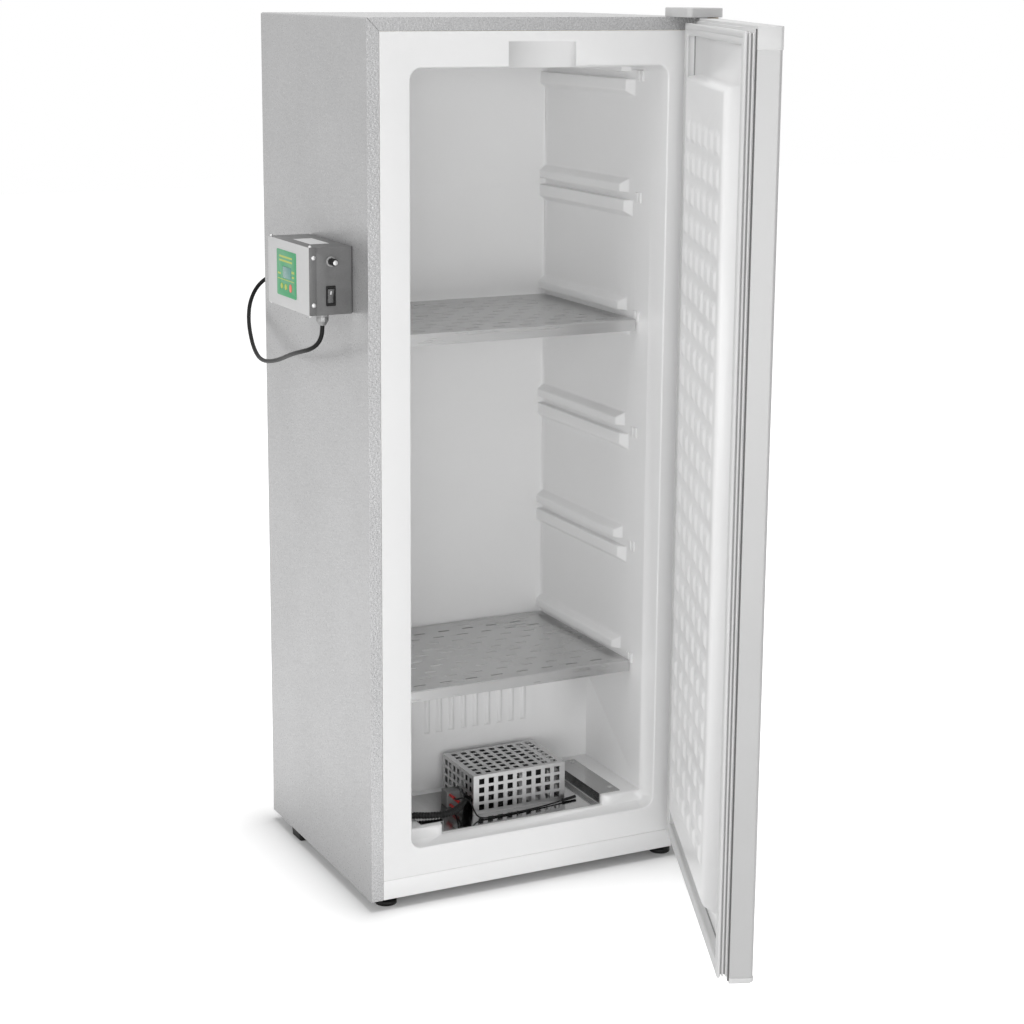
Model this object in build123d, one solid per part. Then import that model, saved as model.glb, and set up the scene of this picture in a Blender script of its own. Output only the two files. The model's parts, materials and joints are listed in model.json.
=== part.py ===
from build123d import *
import os
from math import radians, tan

# Honey warming cabinet: an insulated upright cabinet with a door, two shelves and a floor heater.
# Millimetres. X runs to the right seen from the front, Y to the back, Z up. The origin is on the
# floor under the middle of the cabinet body. The door is drawn closed, then turned to its rest angle.

# Carcass
cabinet_width = 600.0
cabinet_depth = 462.0
shell_height = 1425.0
foot_height = 18.0
sheet = 1.0
flange_width = 20.5
bend_radius = 4.0
rear_return = 14.0
pan_sheet = 1.5
plinth_height = 33.0
plinth_depth = 18.0
plinth_wall = 3.0
seam = 0.5

# Feet
front_foot_inset = 38.0
front_foot_setback = 31.0
foot_pad_radius = 18.0
foot_pad_height = 7.0
foot_hub_radius = 7.0
foot_hub_top = 13.0
stem_radius = 4.0
stem_top = 42.0
boss_radius = 8.0
boss_height = 8.0
foot_pocket_radius = 10.0
foot_pocket_height = 28.0
rear_foot_width = 26.0
rear_foot_length = 45.0
rear_foot_inset = 16.0
rear_foot_from_back = 103.0
rear_foot_taper = 5.0
rear_foot_corner = 4.0

# Moulded liner
liner_wall = 2.5
frame_side = 72.0
sill_height = 80.0
lintel_height = 76.0
flare = 4.0
flare_depth = 45.0
cavity_depth = 422.0
opening_radius = 20.0
corner_radius = 8.0
opening_edge = 3.0
cove_radius = 7.0
notch_width = 118.0
notch_height = 38.0
notch_depth = 24.0
hump_gap = 20.0
hump_height = 182.0
hump_slope_run = 50.0
hump_slope_rise = 42.0
hump_back_rise = 6.0
hump_edge = 16.0
pleat_count = 9
pleat_pitch = 23.5
pleat_width = 11.0
pleat_crest = 6.0
pleat_reach = 4.0
pleat_bottom = 106.0
pleat_height = 70.0
ledge_height = 18.5
ledge_setback = 36.0
ledge_clearance = 2.0
ledge_corner = 14.0

# Shelf ribs
first_level = 242.0
level_pitch = 200.0
rib_reach = 12.0
lower_rib_height = 28.5
lower_rib_face = 19.5
lower_rib_setback = 100.0
upper_rib_height = 23.5
upper_rib_face = 13.5
upper_rib_setback = 115.0
rib_slant = 14.0
slot_height = 11.5
stop_setback = 73.0
stop_width = 19.0
stop_height = 17.0
stop_drop = 2.5
stop_reach = 2.5
stop_groove = 2.0

# Shelves
upper_shelf_level = 3
lower_shelf_level = 0
shelf_sheet = 1.5
shelf_side_gap = 3.5
shelf_setback = 79.0
shelf_back_gap = 5.0
shelf_rest_gap = 0.3
shelf_lip = 19.5
shelf_bend = 3.0
slot_length = 22.0
slot_width = 4.5
slot_pitch_x = 48.0
slot_pitch_y = 30.0
slot_margin = 24.0

# Heater
tray_sheet = 1.2
tray_wall_gap = 34.0
tray_flange = 40.0
tray_setback = 49.0
tray_depth = 170.0
cage_width = 176.0
cage_offset = 16.0
cage_setback = 93.0
cage_depth = 125.0
cage_height = 69.5
cage_sheet = 1.0
cage_hole = 10.2
cage_pitch_x = 18.1
cage_pitch_y = 16.3
cage_pitch_z = 15.4
cage_holes_x = 9
cage_holes_y = 7
cage_holes_z = 4
cage_doorway = 40.0
cage_doorway_height = 28.0
cage_doorway_margin = 4.0
fan_size = 60.0
fan_depth = 20.0
fan_gap = 26.0
fan_bore_radius = 28.0
fan_corner = 5.0
fan_hub_radius = 10.0
fan_hub_depth = 4.0
fan_strut = 3.0
rotor_hub_radius = 11.0
rotor_hub_depth = 11.0
rotor_radius = 26.5
rotor_blades = 7
blade_thickness = 1.2
blade_chord = 13.0
blade_angle = 35.0
blade_root = 1.0
fan_shaft_radius = 1.5
shaft_clearance = 0.05
rotor_end_gap = 0.4
element_gap = 6.0
element_thickness = 96.0
element_length = 96.0
element_height = 32.0
element_lift = 32.0
element_fins = 14
fin_thickness = 2.2
element_rail = 4.0
bracket_sheet = 1.5
bracket_strap = 14.0
cutout_radius = 8.0
cutout_flange_radius = 11.0
cutout_flange = 1.2
cutout_height = 9.0

# Heater wiring
strip_gap = 1.0
strip_width = 26.0
strip_depth = 24.0
strip_height = 28.0
strip_from_front = 50.0
crimp_radius = 2.5
crimp_length = 18.0
# Crimps: X from the strip's outer side, Z from the tray
crimp_spots = [(5.6, 22.8), (6.5, 4.5), (15.0, 13.5)]
wire_diameter = 2.6
wire_spread = 1.75
wire_straight = 9.0
sensor_straight = 8.0
wire_rise = 2.0
wire_rise_step = 1.0
wire_sides = 6
conduit_rib_radius = 6.2
conduit_valley_radius = 4.9
conduit_bore_radius = 3.9
conduit_pitch = 5.0
conduit_valley = 1.0
conduit_slope = 1.0
conduit_sides = 12
conduit_bore_steps = 12
# Conduit route: share of the way from the wall to the cage, then Y from the cage front, Z from the ledge
conduit_run = [
    (0.0, -18.0, 10.1), (0.173, -19.0, 9.7), (0.360, -29.0, 8.1), (0.527, -34.5, 7.7),
    (0.680, -29.5, 8.7), (0.770, -20.5, 10.8), (0.847, -10.0, 14.0),
]
bush_plate = 2.0
bush_length = 32.0
bush_height = 18.0
bush_corner = 8.0
bush_collar = 5.0
bush_collar_wall = 2.5
bush_clearance = 0.3
probe_radius = 2.75
probe_length = 29.0
# Sensor route in the trough: X from the trough side, Y from the tray front, Z from the tray
sensor_trough_run = [
    (68.0, 41.5, 29.8), (72.5, 39.5, 22.3), (74.0, 33.5, 12.8), (76.0, 26.0, 5.3), (83.0, 20.5, 1.8),
    (98.0, 19.0, 1.4), (136.0, 20.2, 1.4), (174.0, 23.0, 1.4), (206.0, 27.0, 1.7), (228.0, 30.8, 2.4),
    (244.0, 33.6, 3.0),
]

# Control box
box_setback = 61.0
box_length = 180.0
box_height = 107.0
box_depth = 70.5
box_wall = 2.0
box_up = 967.0
plate_thickness = 3.3
plate_lip = 9.0
plate_lip_sheet = 1.0
overlay_thickness = 0.8
overlay_from_front = 54.0
overlay_length = 85.0
overlay_up = 18.0
overlay_height = 73.5
overlay_corner = 3.0
display_from_front = 75.0
display_length = 37.0
display_up = 47.0
display_height = 18.6
display_proud = 0.3
panel_gap = 0.2
key_up_row = 33.5
key_proud = 0.6
key_depth = 1.6
key_pocket = 2.2
round_key_radius = 4.6
oval_key_length = 13.0
oval_key_width = 9.5
key_spots = {"key_power": 78.0, "key_down": 99.0, "key_up": 117.0}
board_length = 112.0
board_height = 80.0
board_thickness = 1.6
board_stand_off = 8.5
board_from_front = 40.0
board_up = 12.0
stud_radius = 3.0
stud_inset = 6.0
fuse_depth = 33.5
fuse_up = 84.0
fuse_bezel_radius = 8.0
fuse_bezel = 2.5
fuse_barrel_radius = 6.0
fuse_barrel = 32.0
fuse_bore_radius = 4.6
fuse_bore = 26.0
cap_radius = 5.6
cap_length = 15.0
cap_tip_radius = 4.0
cap_tip = 3.0
cap_stem_radius = 4.5
cap_stem = 22.0
cap_gap = 0.3
switch_depth = 33.0
switch_up = 30.0
switch_bezel_width = 15.8
switch_bezel_height = 31.6
switch_bezel = 1.8
switch_bezel_corner = 1.5
switch_body_width = 13.4
switch_body_height = 27.6
switch_body = 20.0
rocker_width = 10.0
rocker_radius = 12.0
rocker_inset = 3.0
rocker_crease = 2.5
rocker_tilt = 9.0
rocker_gap = 0.3
gland_depth = 27.0
gland_setback = 22.0
gland_thread_radius = 8.0
gland_thread = 10.0
gland_hex = 11.0
gland_flange = 5.0
gland_nut_radius = 10.0
gland_nut_tip_radius = 5.5
gland_nut_height = 14.0
gland_nut_sides = 12
gland_nut_shoulder = 0.4

# Mains lead, from the gland round behind the cabinet and down to the floor
lead_diameter = 7.0
lead_sides = 8
arc_share = 0.45
# Beside the cabinet: X out from the side, share of the way from the gland to the back, Z from the exit
lead_side_run = [
    (43.5, 0.0, 0.0), (43.5, 0.0, -11.0), (46.3, 0.008, -24.5), (51.7, 0.028, -35.0), (57.0, 0.066, -42.0),
    (59.5, 0.122, -47.5), (59.5, 0.203, -55.0), (56.5, 0.303, -64.5), (49.5, 0.464, -81.5),
    (46.0, 0.633, -96.0), (41.0, 0.781, -101.0), (35.0, 0.902, -91.5),
]
# Behind the cabinet, up and over to the clip: X in from the side, Y out from the back, Z from the exit
lead_back_run = [
    (-28.0, 1.0, -72.0), (-19.0, 35.0, -49.0), (-7.0, 60.0, -23.0), (10.0, 69.0, 3.0), (32.0, 61.0, 22.0),
    (56.0, 41.0, 28.0), (76.0, 20.0, 18.0), (88.0, 8.5, -6.0), (90.0, 6.5, -34.0), (90.0, 6.5, -54.0),
]
# From the clip to the floor: X in from the side, Y out from the back, Z as a share of the clip's height
lead_drop_run = [
    (90.0, 6.5, 1.0), (90.0, 6.5, 0.965), (91.0, 7.0, 0.906), (93.4, 8.0, 0.820), (97.4, 9.0, 0.724),
    (102.8, 10.0, 0.621), (109.8, 11.0, 0.518), (118.4, 12.0, 0.417), (128.6, 13.0, 0.318),
    (140.4, 14.2, 0.225), (154.0, 15.8, 0.140), (171.0, 18.0, 0.077), (196.0, 21.0, 0.032),
]
# Along the floor to the plug: X in from the side, Y out from the back, Z under the lead
lead_floor_run = [
    (234.0, 24.5, 3.5), (280.0, 27.0, 0.3), (330.0, 28.0, 0.3), (374.0, 27.5, 2.5), (408.0, 26.6, 9.5),
    (440.0, 26.0, 15.7), (464.0, 26.0, 15.7),
]
clip_wall = 3.0
clip_bore_gap = 0.3
clip_height = 12.0
clip_tab = 24.0
clip_tab_sheet = 2.0
plug_sleeve_radius = 6.0
plug_sleeve = 30.0
plug_neck_radius = 12.0
plug_neck = 14.0
plug_radius = 18.5
plug_body = 24.0
plug_sides = 16
plug_pin_radius = 2.4
plug_pin = 19.0
plug_pin_spacing = 19.0

# Door
door_angle = 67.0
door_thickness = 35.5
door_stand_off = 9.6
door_bottom_gap = 32.0
door_top_gap = 1.5
door_edge_radius = 5.0
door_return = 12.0
door_top_cap = 32.0
door_bottom_cap = 10.0
cap_proud = 1.0
cap_round = 4.0
door_liner_wall = 2.5
door_liner_inset = 4.0
gasket_inset = 5.0
gasket_width = 25.0
gasket_outer_draft = 8.5
gasket_inner_draft = 3.0
gasket_clearance = 0.3
panel_side = 106.0
panel_draft = 5.0
panel_bottom = 80.0
panel_bottom_draft = 17.0
panel_top = 89.5
panel_top_draft = 6.0
panel_height = 28.0
bump_columns = 6
bump_pitch_x = 61.0
bump_pitch_z = 48.6
bump_width = 43.0
bump_height = 35.0
bump_draft = 7.0
bump_proud = 2.5
bump_top_margin = 79.0
bump_bottom_margin = 60.0

# Hinges
hinge_inset = 13.0
hinge_offset = 26.0
hinge_plate_sheet = 3.0
hinge_plate_length = 56.0
hinge_plate_depth = 28.0
hinge_plate_edge = 4.0
hinge_eye_radius = 9.0
hinge_cover_length = 66.0
hinge_cover_depth = 82.0
hinge_cover_overhang = 50.0
hinge_cover_height = 15.0
hinge_cover_wall = 2.0
hinge_cover_corner = 9.0
upper_pin_radius = 5.0
lower_pin_radius = 4.0
pin_head = 2.0
pin_head_wider = 2.5
pin_clearance = 0.05
upper_pin_reach = 18.0
lower_pin_reach = 9.5
bush_wall = 2.0
upper_bush_depth = 20.0
bush_flange = 1.1
bush_flange_wider = 2.0
bracket_width = 31.0
bracket_plate = 3.0
bracket_below_door = 2.0
bracket_edge = 1.0

# Places that follow from the sizes above
half_width = cabinet_width / 2
front = -cabinet_depth / 2
back = cabinet_depth / 2
shell_bottom = foot_height
shell_top = foot_height + shell_height
frame_half = half_width - flange_width - seam
frame_bottom = shell_bottom + plinth_height + seam
frame_top = shell_top - flange_width - seam
opening_half = half_width - frame_side
opening_top = shell_top - lintel_height
cavity_half = opening_half - flare
cavity_back = front + cavity_depth
floor = shell_bottom + sill_height
ceiling = opening_top - flare
level_count = int((ceiling - floor - first_level) // level_pitch) + 1
levels = [floor + first_level + number * level_pitch for number in range(level_count)]
ledge_top = floor + ledge_height
trough_half = cavity_half - tray_wall_gap - tray_flange
tray_front = front + tray_setback
tray_back = tray_front + tray_depth
tray_top = floor + tray_sheet
hump_front = tray_back + hump_gap
cage_left = cage_offset - cage_width / 2
cage_right = cage_offset + cage_width / 2
cage_front = front + cage_setback
cage_back = cage_front + cage_depth
cage_middle = (cage_front + cage_back) / 2
fan_left = cage_left + fan_gap
fan_right = fan_left + fan_depth
fan_axis_z = tray_top + fan_size / 2
element_left = fan_right + element_gap
strip_right = cage_left - strip_gap
strip_left = strip_right - strip_width
strip_front = cage_front + strip_from_front
box_front = front + box_setback
box_back = box_front + box_length
box_bottom = shell_bottom + box_up
box_top = box_bottom + box_height
box_left = -half_width - box_depth
plate_left = box_left - plate_thickness
hinge_x = half_width - hinge_inset
door_inner = front - door_stand_off
door_outer = door_inner - door_thickness
hinge_y = door_inner - hinge_offset
door_bottom = shell_bottom + door_bottom_gap
door_top = shell_top - door_top_gap
bracket_top = door_bottom - bracket_below_door
door_turn = Pos(hinge_x, hinge_y, 0) * Rot(0, 0, door_angle) * Pos(-hinge_x, -hinge_y, 0)
foot_spots = {
    "foot_left": (-half_width + front_foot_inset, front + front_foot_setback),
    "foot_right": (half_width - front_foot_inset, front + front_foot_setback),
}
gland_x = -half_width - box_depth + gland_depth
gland_y = box_front + gland_setback
lead_exit = box_bottom - gland_flange - gland_nut_height
clip_z = lead_exit + lead_back_run[-1][2]
to_back = back - gland_y
lead_loop_points = [
    (-half_width - out, gland_y + share * to_back, lead_exit + up) for out, share, up in lead_side_run
]
lead_loop_points += [(-half_width + along, back + out, lead_exit + up) for along, out, up in lead_back_run]
lead_drop_points = [(-half_width + along, back + out, share * clip_z) for along, out, share in lead_drop_run]
lead_drop_points += [
    (-half_width + along, back + out, lead_diameter / 2 + up) for along, out, up in lead_floor_run
]
bush_face = -cavity_half + bush_plate
conduit_points = [
    (bush_face + share * (cage_left - bush_face), cage_front + deep, ledge_top + up)
    for share, deep, up in conduit_run
]


# Sketch planes and prisms

def rect(low_a, high_a, low_b, high_b):
    """A rectangle between two corners of a sketch plane."""
    return Pos((low_a + high_a) / 2, (low_b + high_b) / 2) * Rectangle(high_a - low_a, high_b - low_b)


def seen_from_front(y):
    """A sketch plane at depth y whose first axis is X and second is Z."""
    return Plane(origin=(0, y, 0), x_dir=(1, 0, 0), z_dir=(0, -1, 0))


def seen_from_side(x):
    """A sketch plane at x whose first axis is Y and second is Z."""
    return Plane(origin=(x, 0, 0), x_dir=(0, 1, 0), z_dir=(1, 0, 0))


def along_y(outline, low, high):
    return extrude(seen_from_front(low) * outline, amount=high - low, dir=(0, 1, 0))


def along_x(outline, low, high):
    return extrude(seen_from_side(low) * outline, amount=high - low, dir=(1, 0, 0))


def along_z(outline, low, high):
    return extrude(Plane.XY.offset(low) * outline, amount=high - low, dir=(0, 0, 1))


def block(low_x, high_x, low_y, high_y, low_z, high_z):
    return along_z(rect(low_x, high_x, low_y, high_y), low_z, high_z)


def outline(*points):
    return Polygon(*points, align=None)


def both_sides(shape):
    """A shape on the right with its mirror image on the left."""
    return [shape, mirror(shape, about=Plane.YZ)]


def rod(radius, low, high, direction, place):
    """A round rod along one axis from low to high; place is its two other coordinates."""
    prism = {"x": along_x, "y": along_y, "z": along_z}[direction]
    return prism(Pos(*place) * Circle(radius), low, high)


# Carcass

def arch(inset, radius):
    """The carcass outline seen from the front, drawn in by an inset on both sides and the top."""
    face = rect(-half_width + inset, half_width - inset, shell_bottom, shell_top - inset)
    return fillet(face.vertices().group_by(Axis.Y)[-1], radius) if radius > 0 else face


def make_outer_wrapper():
    skin_back = back - sheet
    shell = along_y(arch(0, bend_radius) - arch(sheet, bend_radius - sheet), front, skin_back)
    front_flange = along_y(arch(0, bend_radius) - arch(flange_width, 0), front, front + sheet)
    back_flange = along_y(arch(0, bend_radius) - arch(rear_return, 0), skin_back - sheet, skin_back)
    return shell + front_flange + back_flange


def make_back_panel():
    return along_y(arch(sheet, bend_radius - sheet), back - sheet, back)


def make_base_pan():
    upturn_front = front + plinth_depth
    pan_back = back - 2 * sheet
    profile = rect(upturn_front, pan_back, shell_bottom, shell_bottom + pan_sheet)
    profile += rect(upturn_front, upturn_front + pan_sheet, shell_bottom, shell_bottom + plinth_height)
    pan = along_x(profile, -half_width + sheet, half_width - sheet)
    for spot in foot_spots.values():
        pan += rod(boss_radius, shell_bottom, shell_bottom + pan_sheet + boss_height, "z", spot)
        pan -= rod(stem_radius + shaft_clearance, shell_bottom, stem_top, "z", spot)
    return pan


def make_plinth():
    top = shell_bottom + plinth_height
    channel = rect(front, front + plinth_depth, shell_bottom, top)
    channel -= rect(front + plinth_wall, front + plinth_depth, shell_bottom + plinth_wall, top - plinth_wall)
    return along_x(channel, -frame_half, half_width - bracket_edge - bracket_width - seam)


def make_foot(spot):
    """A levelling foot: a round pad, a hexagon for the spanner and a stem in the base pan."""
    hexagon = Pos(*spot) * RegularPolygon(foot_hub_radius, 6)
    foot = rod(foot_pad_radius, 0, foot_pad_height, "z", spot)
    foot += along_z(hexagon, foot_pad_height, foot_hub_top)
    return foot + rod(stem_radius, foot_hub_top, stem_top, "z", spot)


def make_rear_feet():
    feet = []
    for side in (-1, 1):
        spot = Pos(side * (half_width - rear_foot_inset), back - rear_foot_from_back, shell_bottom)
        pad = Rectangle(rear_foot_width, rear_foot_length)
        pad = chamfer(pad.vertices(), rear_foot_corner)
        feet.append(spot * extrude(pad, amount=-foot_height, taper=rear_foot_taper))
    return feet


# Moulded liner

def cavity_section(y, half, top, radius, grow):
    """The hollow's rounded outline at depth y, grown outwards by a wall."""
    width = 2 * (half + grow)
    height = top - floor + 2 * grow
    face = RectangleRounded(width, height, radius + grow)
    return seen_from_front(y) * (Pos(0, (top + floor) / 2) * face)


def hollow(grow):
    """The flared hollow of the liner; grow adds the wall all round and at the back."""
    throat = front + flare_depth
    mouth = cavity_section(front, opening_half, opening_top, opening_radius, grow)
    neck = cavity_section(throat, cavity_half, ceiling, corner_radius, grow)
    straight = extrude(neck, amount=cavity_back + grow - throat, dir=(0, 1, 0))
    straight = fillet(straight.faces().sort_by(Axis.Y)[-1].edges(), cove_radius + grow)
    return loft([mouth, neck], ruled=True) + straight


def hump(inset):
    """The step at the lower back; an inset draws its front and top in by the wall."""
    shoulder = floor + hump_height
    crest_y = hump_front + hump_slope_run
    crest_z = shoulder + hump_slope_rise
    beyond = cavity_back + 2 * liner_wall + cove_radius
    below = floor - 2 * liner_wall
    profile = outline(
        (hump_front + inset, below), (hump_front + inset, shoulder - inset / 2),
        (crest_y + inset / 2, crest_z - inset), (beyond, crest_z + hump_back_rise - inset), (beyond, below),
    )
    upper = [corner for corner in profile.vertices() if corner.Y > floor and corner.X < cavity_back]
    width = cavity_half + 3 * liner_wall
    return along_x(fillet(upper, hump_edge), -width, width)


def rib(seat, wall_edge, face_edge, setback):
    """One drafted shelf rib on the right wall, with its seat level and the wall and face edges beyond it."""
    wall = cavity_half + liner_wall / 2
    face = cavity_half - rib_reach
    section = outline(
        (wall, seat), (wall, wall_edge), (cavity_half, wall_edge), (face, face_edge), (face, seat),
    )
    nose = front + setback
    plan = outline(
        (wall, nose), (cavity_half, nose), (face, nose + rib_slant),
        (face, cavity_back + liner_wall / 2), (wall, cavity_back + liner_wall / 2),
    )
    low, high = sorted((seat, wall_edge))
    return along_y(section, nose, cavity_back + liner_wall / 2) & along_z(plan, low, high)


def ribs():
    pairs = []
    for level in levels:
        pairs += both_sides(rib(level, level - lower_rib_height, level - lower_rib_face, lower_rib_setback))
        seat = level + slot_height
        pairs += both_sides(rib(seat, seat + upper_rib_height, seat + upper_rib_face, upper_rib_setback))
    return pairs


def pleats():
    """The shallow upright flutes across the front of the hump."""
    low = floor + pleat_bottom
    root = hump_front + liner_wall / 2
    crest = hump_front - pleat_reach
    flutes = []
    for number in range(pleat_count):
        middle = (number - (pleat_count - 1) / 2) * pleat_pitch
        plan = outline(
            (middle - pleat_width / 2, root), (middle - pleat_crest / 2, crest),
            (middle + pleat_crest / 2, crest), (middle + pleat_width / 2, root),
        )
        flutes.append(along_z(plan, low, low + pleat_height))
    return flutes


def ledges():
    """The raised floor ledges that carry the tray's flanges."""
    inner = trough_half + ledge_clearance
    plan = rect(inner, cavity_half + liner_wall / 2, front + ledge_setback, hump_front + liner_wall / 2)
    nose = plan.vertices().sort_by(Axis.Y)[:2].sort_by(Axis.X)[0]
    return both_sides(along_z(fillet(nose, ledge_corner), floor - liner_wall / 2, ledge_top))


def notch(grow):
    """The recess in the top of the frame; grow adds the wall behind and round it."""
    half = notch_width / 2 + grow
    top = opening_top + notch_height + grow
    return block(-half, half, front, front + notch_depth + grow, ceiling - grow, top)


def liner_envelope():
    """The liner's outer form, before it is hollowed."""
    frame = along_y(rect(-frame_half, frame_half, frame_bottom, frame_top), front, front + liner_wall)
    return frame + (hollow(liner_wall) - hump(liner_wall)) + notch(liner_wall)


def make_inner_liner():
    inside = hollow(0) - hump(0)
    inside = inside - (ribs() + ledges() + pleats())
    body = liner_envelope() - inside - notch(0)
    mouth = body.faces().sort_by(Axis.Y)[0].inner_wires()[0]
    return fillet(mouth.edges(), opening_edge)


def make_insulation_foam():
    behind_flange = front + liner_wall
    pan_top = shell_bottom + pan_sheet
    above_pan = arch(sheet, bend_radius - sheet) & rect(-half_width, half_width, frame_bottom, shell_top)
    beside_pan = rect(-half_width + sheet, half_width - sheet, pan_top, frame_bottom)
    foam = along_y(above_pan, behind_flange, back - 2 * sheet)
    foam += along_y(beside_pan, front + plinth_depth + pan_sheet, back - 2 * sheet)
    foam -= liner_envelope()
    pockets = [
        rod(foot_pocket_radius, pan_top, shell_bottom + foot_pocket_height, "z", spot)
        for spot in foot_spots.values()
    ]
    return foam - pockets


def make_shelf_stops():
    """Square pads in front of each slot, with an upright groove."""
    near = front + stop_setback
    groove_middle = near + stop_width / 2
    inner = cavity_half - stop_reach
    plan = rect(inner, cavity_half, near, near + stop_width)
    groove = Pos(inner, groove_middle) * Rectangle(stop_reach, stop_groove)
    plan -= groove
    pads = []
    for level in levels:
        pads += both_sides(along_z(plan, level - stop_drop, level - stop_drop + stop_height))
    return pads


# Shelves

def make_shelf(level):
    """A bent steel shelf with a front lip and staggered slots."""
    half = cavity_half - shelf_side_gap
    near = front + shelf_setback
    far = cavity_back - shelf_back_gap
    underside = level + shelf_rest_gap
    top = underside + shelf_sheet
    profile = rect(near, far, underside, top) + rect(near, near + shelf_sheet, top - shelf_lip, top)
    knee = profile.vertices().sort_by(Axis.X)[:2].sort_by(Axis.Y)[-1]
    shelf = along_x(fillet(knee, shelf_bend), -half, half)
    rows = int((far - near - 2 * slot_margin) // slot_pitch_y) + 1
    columns = int((2 * half - 2 * slot_margin - slot_length) // slot_pitch_x) + 1
    cuts = []
    for row in range(rows):
        y = near + slot_margin + row * slot_pitch_y
        in_row = columns - row % 2
        for column in range(in_row):
            x = (column - (in_row - 1) / 2) * slot_pitch_x
            cuts.append(along_z(Pos(x, y) * Rectangle(slot_length, slot_width), underside, top))
    return shelf - cuts


# Heater

def make_heater_tray():
    """A top-hat trough, open at both ends, whose flanges lie on the ledges."""
    outer = trough_half + tray_flange
    inner = trough_half - tray_sheet
    top = ledge_top + tray_sheet
    section = rect(-trough_half, trough_half, floor, top) - rect(-inner, inner, tray_top, top)
    section += rect(-outer, -inner, ledge_top, top) + rect(inner, outer, ledge_top, top)
    return along_y(section, tray_front, tray_back)


def spread(count, pitch, middle):
    return [middle + (number - (count - 1) / 2) * pitch for number in range(count)]


def make_heater_cage():
    """The square-hole guard: four sides and a top, open below, with a doorway for the wires."""
    top = tray_top + cage_height
    wall = cage_sheet
    cage = block(cage_left, cage_right, cage_front, cage_back, tray_top, top)
    inside = rect(cage_left + wall, cage_right - wall, cage_front + wall, cage_back - wall)
    cage -= along_z(inside, tray_top, top - wall)
    across = spread(cage_holes_x, cage_pitch_x, cage_offset)
    deep = spread(cage_holes_y, cage_pitch_y, cage_middle)
    upright = spread(cage_holes_z, cage_pitch_z, tray_top + cage_height / 2)
    hole = Rectangle(cage_hole, cage_hole)
    cuts = [along_y(Pos(x, z) * hole, cage_front, cage_back) for x in across for z in upright]
    cuts += [along_x(Pos(y, z) * hole, cage_left, cage_right) for y in deep for z in upright]
    cuts += [along_z(Pos(x, y) * hole, top - wall, top) for x in across for y in deep]
    doorway_front = cage_front + cage_doorway_margin
    doorway = rect(doorway_front, doorway_front + cage_doorway, tray_top, tray_top + cage_doorway_height)
    cuts.append(along_x(doorway, cage_left, cage_left + wall))
    return cage - cuts


def make_fan_frame():
    """A square fan housing with a round duct and a bearing hub on four struts."""
    centre = (cage_middle, fan_axis_z)
    face = Pos(*centre) * RectangleRounded(fan_size, fan_size, fan_corner)
    housing = along_x(face - Pos(*centre) * Circle(fan_bore_radius), fan_left, fan_right)
    span = 2 * fan_bore_radius + fan_strut
    struts = Rectangle(span, fan_strut) + Rectangle(fan_strut, span)
    spider = Pos(*centre) * (Circle(fan_hub_radius) + struts - Circle(fan_shaft_radius + shaft_clearance))
    return housing + along_x(spider, fan_right - fan_hub_depth, fan_right)


def make_fan_rotor():
    hub_right = fan_right - fan_hub_depth - rotor_end_gap
    hub_left = hub_right - rotor_hub_depth
    centre = (cage_middle, fan_axis_z)
    rotor = rod(rotor_hub_radius, hub_left, hub_right, "x", centre)
    rotor += rod(fan_shaft_radius, hub_right, fan_right, "x", centre)
    inner = rotor_hub_radius - blade_root
    blade = Box(blade_thickness, blade_chord, rotor_radius - inner)
    blade = Pos(0, 0, (rotor_radius + inner) / 2) * Rot(0, 0, blade_angle) * blade
    middle = Pos((hub_left + hub_right) / 2, *centre)
    return rotor + [middle * Rot(360 * number / rotor_blades, 0, 0) * blade for number in range(rotor_blades)]


def element_place():
    """Near end, far end, underside and top of the heating element."""
    near = cage_middle - element_length / 2
    return near, near + element_length, tray_top + element_lift, tray_top + element_lift + element_height


def make_heating_element():
    """A finned aluminium heating block, open through its thickness."""
    near, far, low, high = element_place()
    element = block(element_left, element_left + element_thickness, near, far, low, high)
    pitch = (element_length - fin_thickness) / (element_fins - 1)
    cuts = []
    for number in range(element_fins - 1):
        start = near + number * pitch + fin_thickness
        gap = rect(start, start + pitch - fin_thickness, low + element_rail, high - element_rail)
        cuts.append(along_x(gap, element_left, element_left + element_thickness))
    return element - cuts


def make_element_brackets():
    """Two upright straps that carry the element clear of the tray."""
    near, far, low, high = element_place()
    left = element_left + (element_thickness - bracket_strap) / 2
    right = left + bracket_strap
    return [
        block(left, right, near - bracket_sheet, near, tray_top, high),
        block(left, right, far, far + bracket_sheet, tray_top, high),
    ]


def make_thermal_cutout():
    """A round snap-action cut-out on the back of the far bracket."""
    near, far, low, high = element_place()
    centre = (element_left + element_thickness / 2, (low + high) / 2)
    seat = far + bracket_sheet
    flange = rod(cutout_flange_radius, seat, seat + cutout_flange, "y", centre)
    return flange + rod(cutout_radius, seat + cutout_flange, seat + cutout_height, "y", centre)


# Heater wiring

def rounded_path(points, name):
    """Straight runs between the points, joined by the widest arcs that the runs allow."""
    corners = [Vector(*point) for point in points]
    radii = []
    for before, corner, after in zip(corners, corners[1:], corners[2:]):
        arriving = corner - before
        leaving = after - corner
        half_turn = radians(arriving.get_angle(leaving) / 2)
        radii.append(arc_share * min(arriving.length, leaving.length) / tan(half_turn))
    path = FilletPolyline(*corners, radius=radii)
    print(name, "length", round(path.length, 1), "smallest radius", round(min(radii), 1))
    print(name, "radii", [round(radius) for radius in radii])
    return path


def cord(points, diameter, sides, name):
    """A cord of many-sided section along a rounded path."""
    path = rounded_path(points, name)
    section = RegularPolygon(diameter / 2, sides)
    tube = sweep(Plane(origin=path @ 0, z_dir=path % 0) * section, path=path)
    print(name, "volume over section times length", round(tube.volume / (section.area * path.length), 5))
    return tube


conduit_path = rounded_path(conduit_points, "wiring_conduit")


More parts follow.
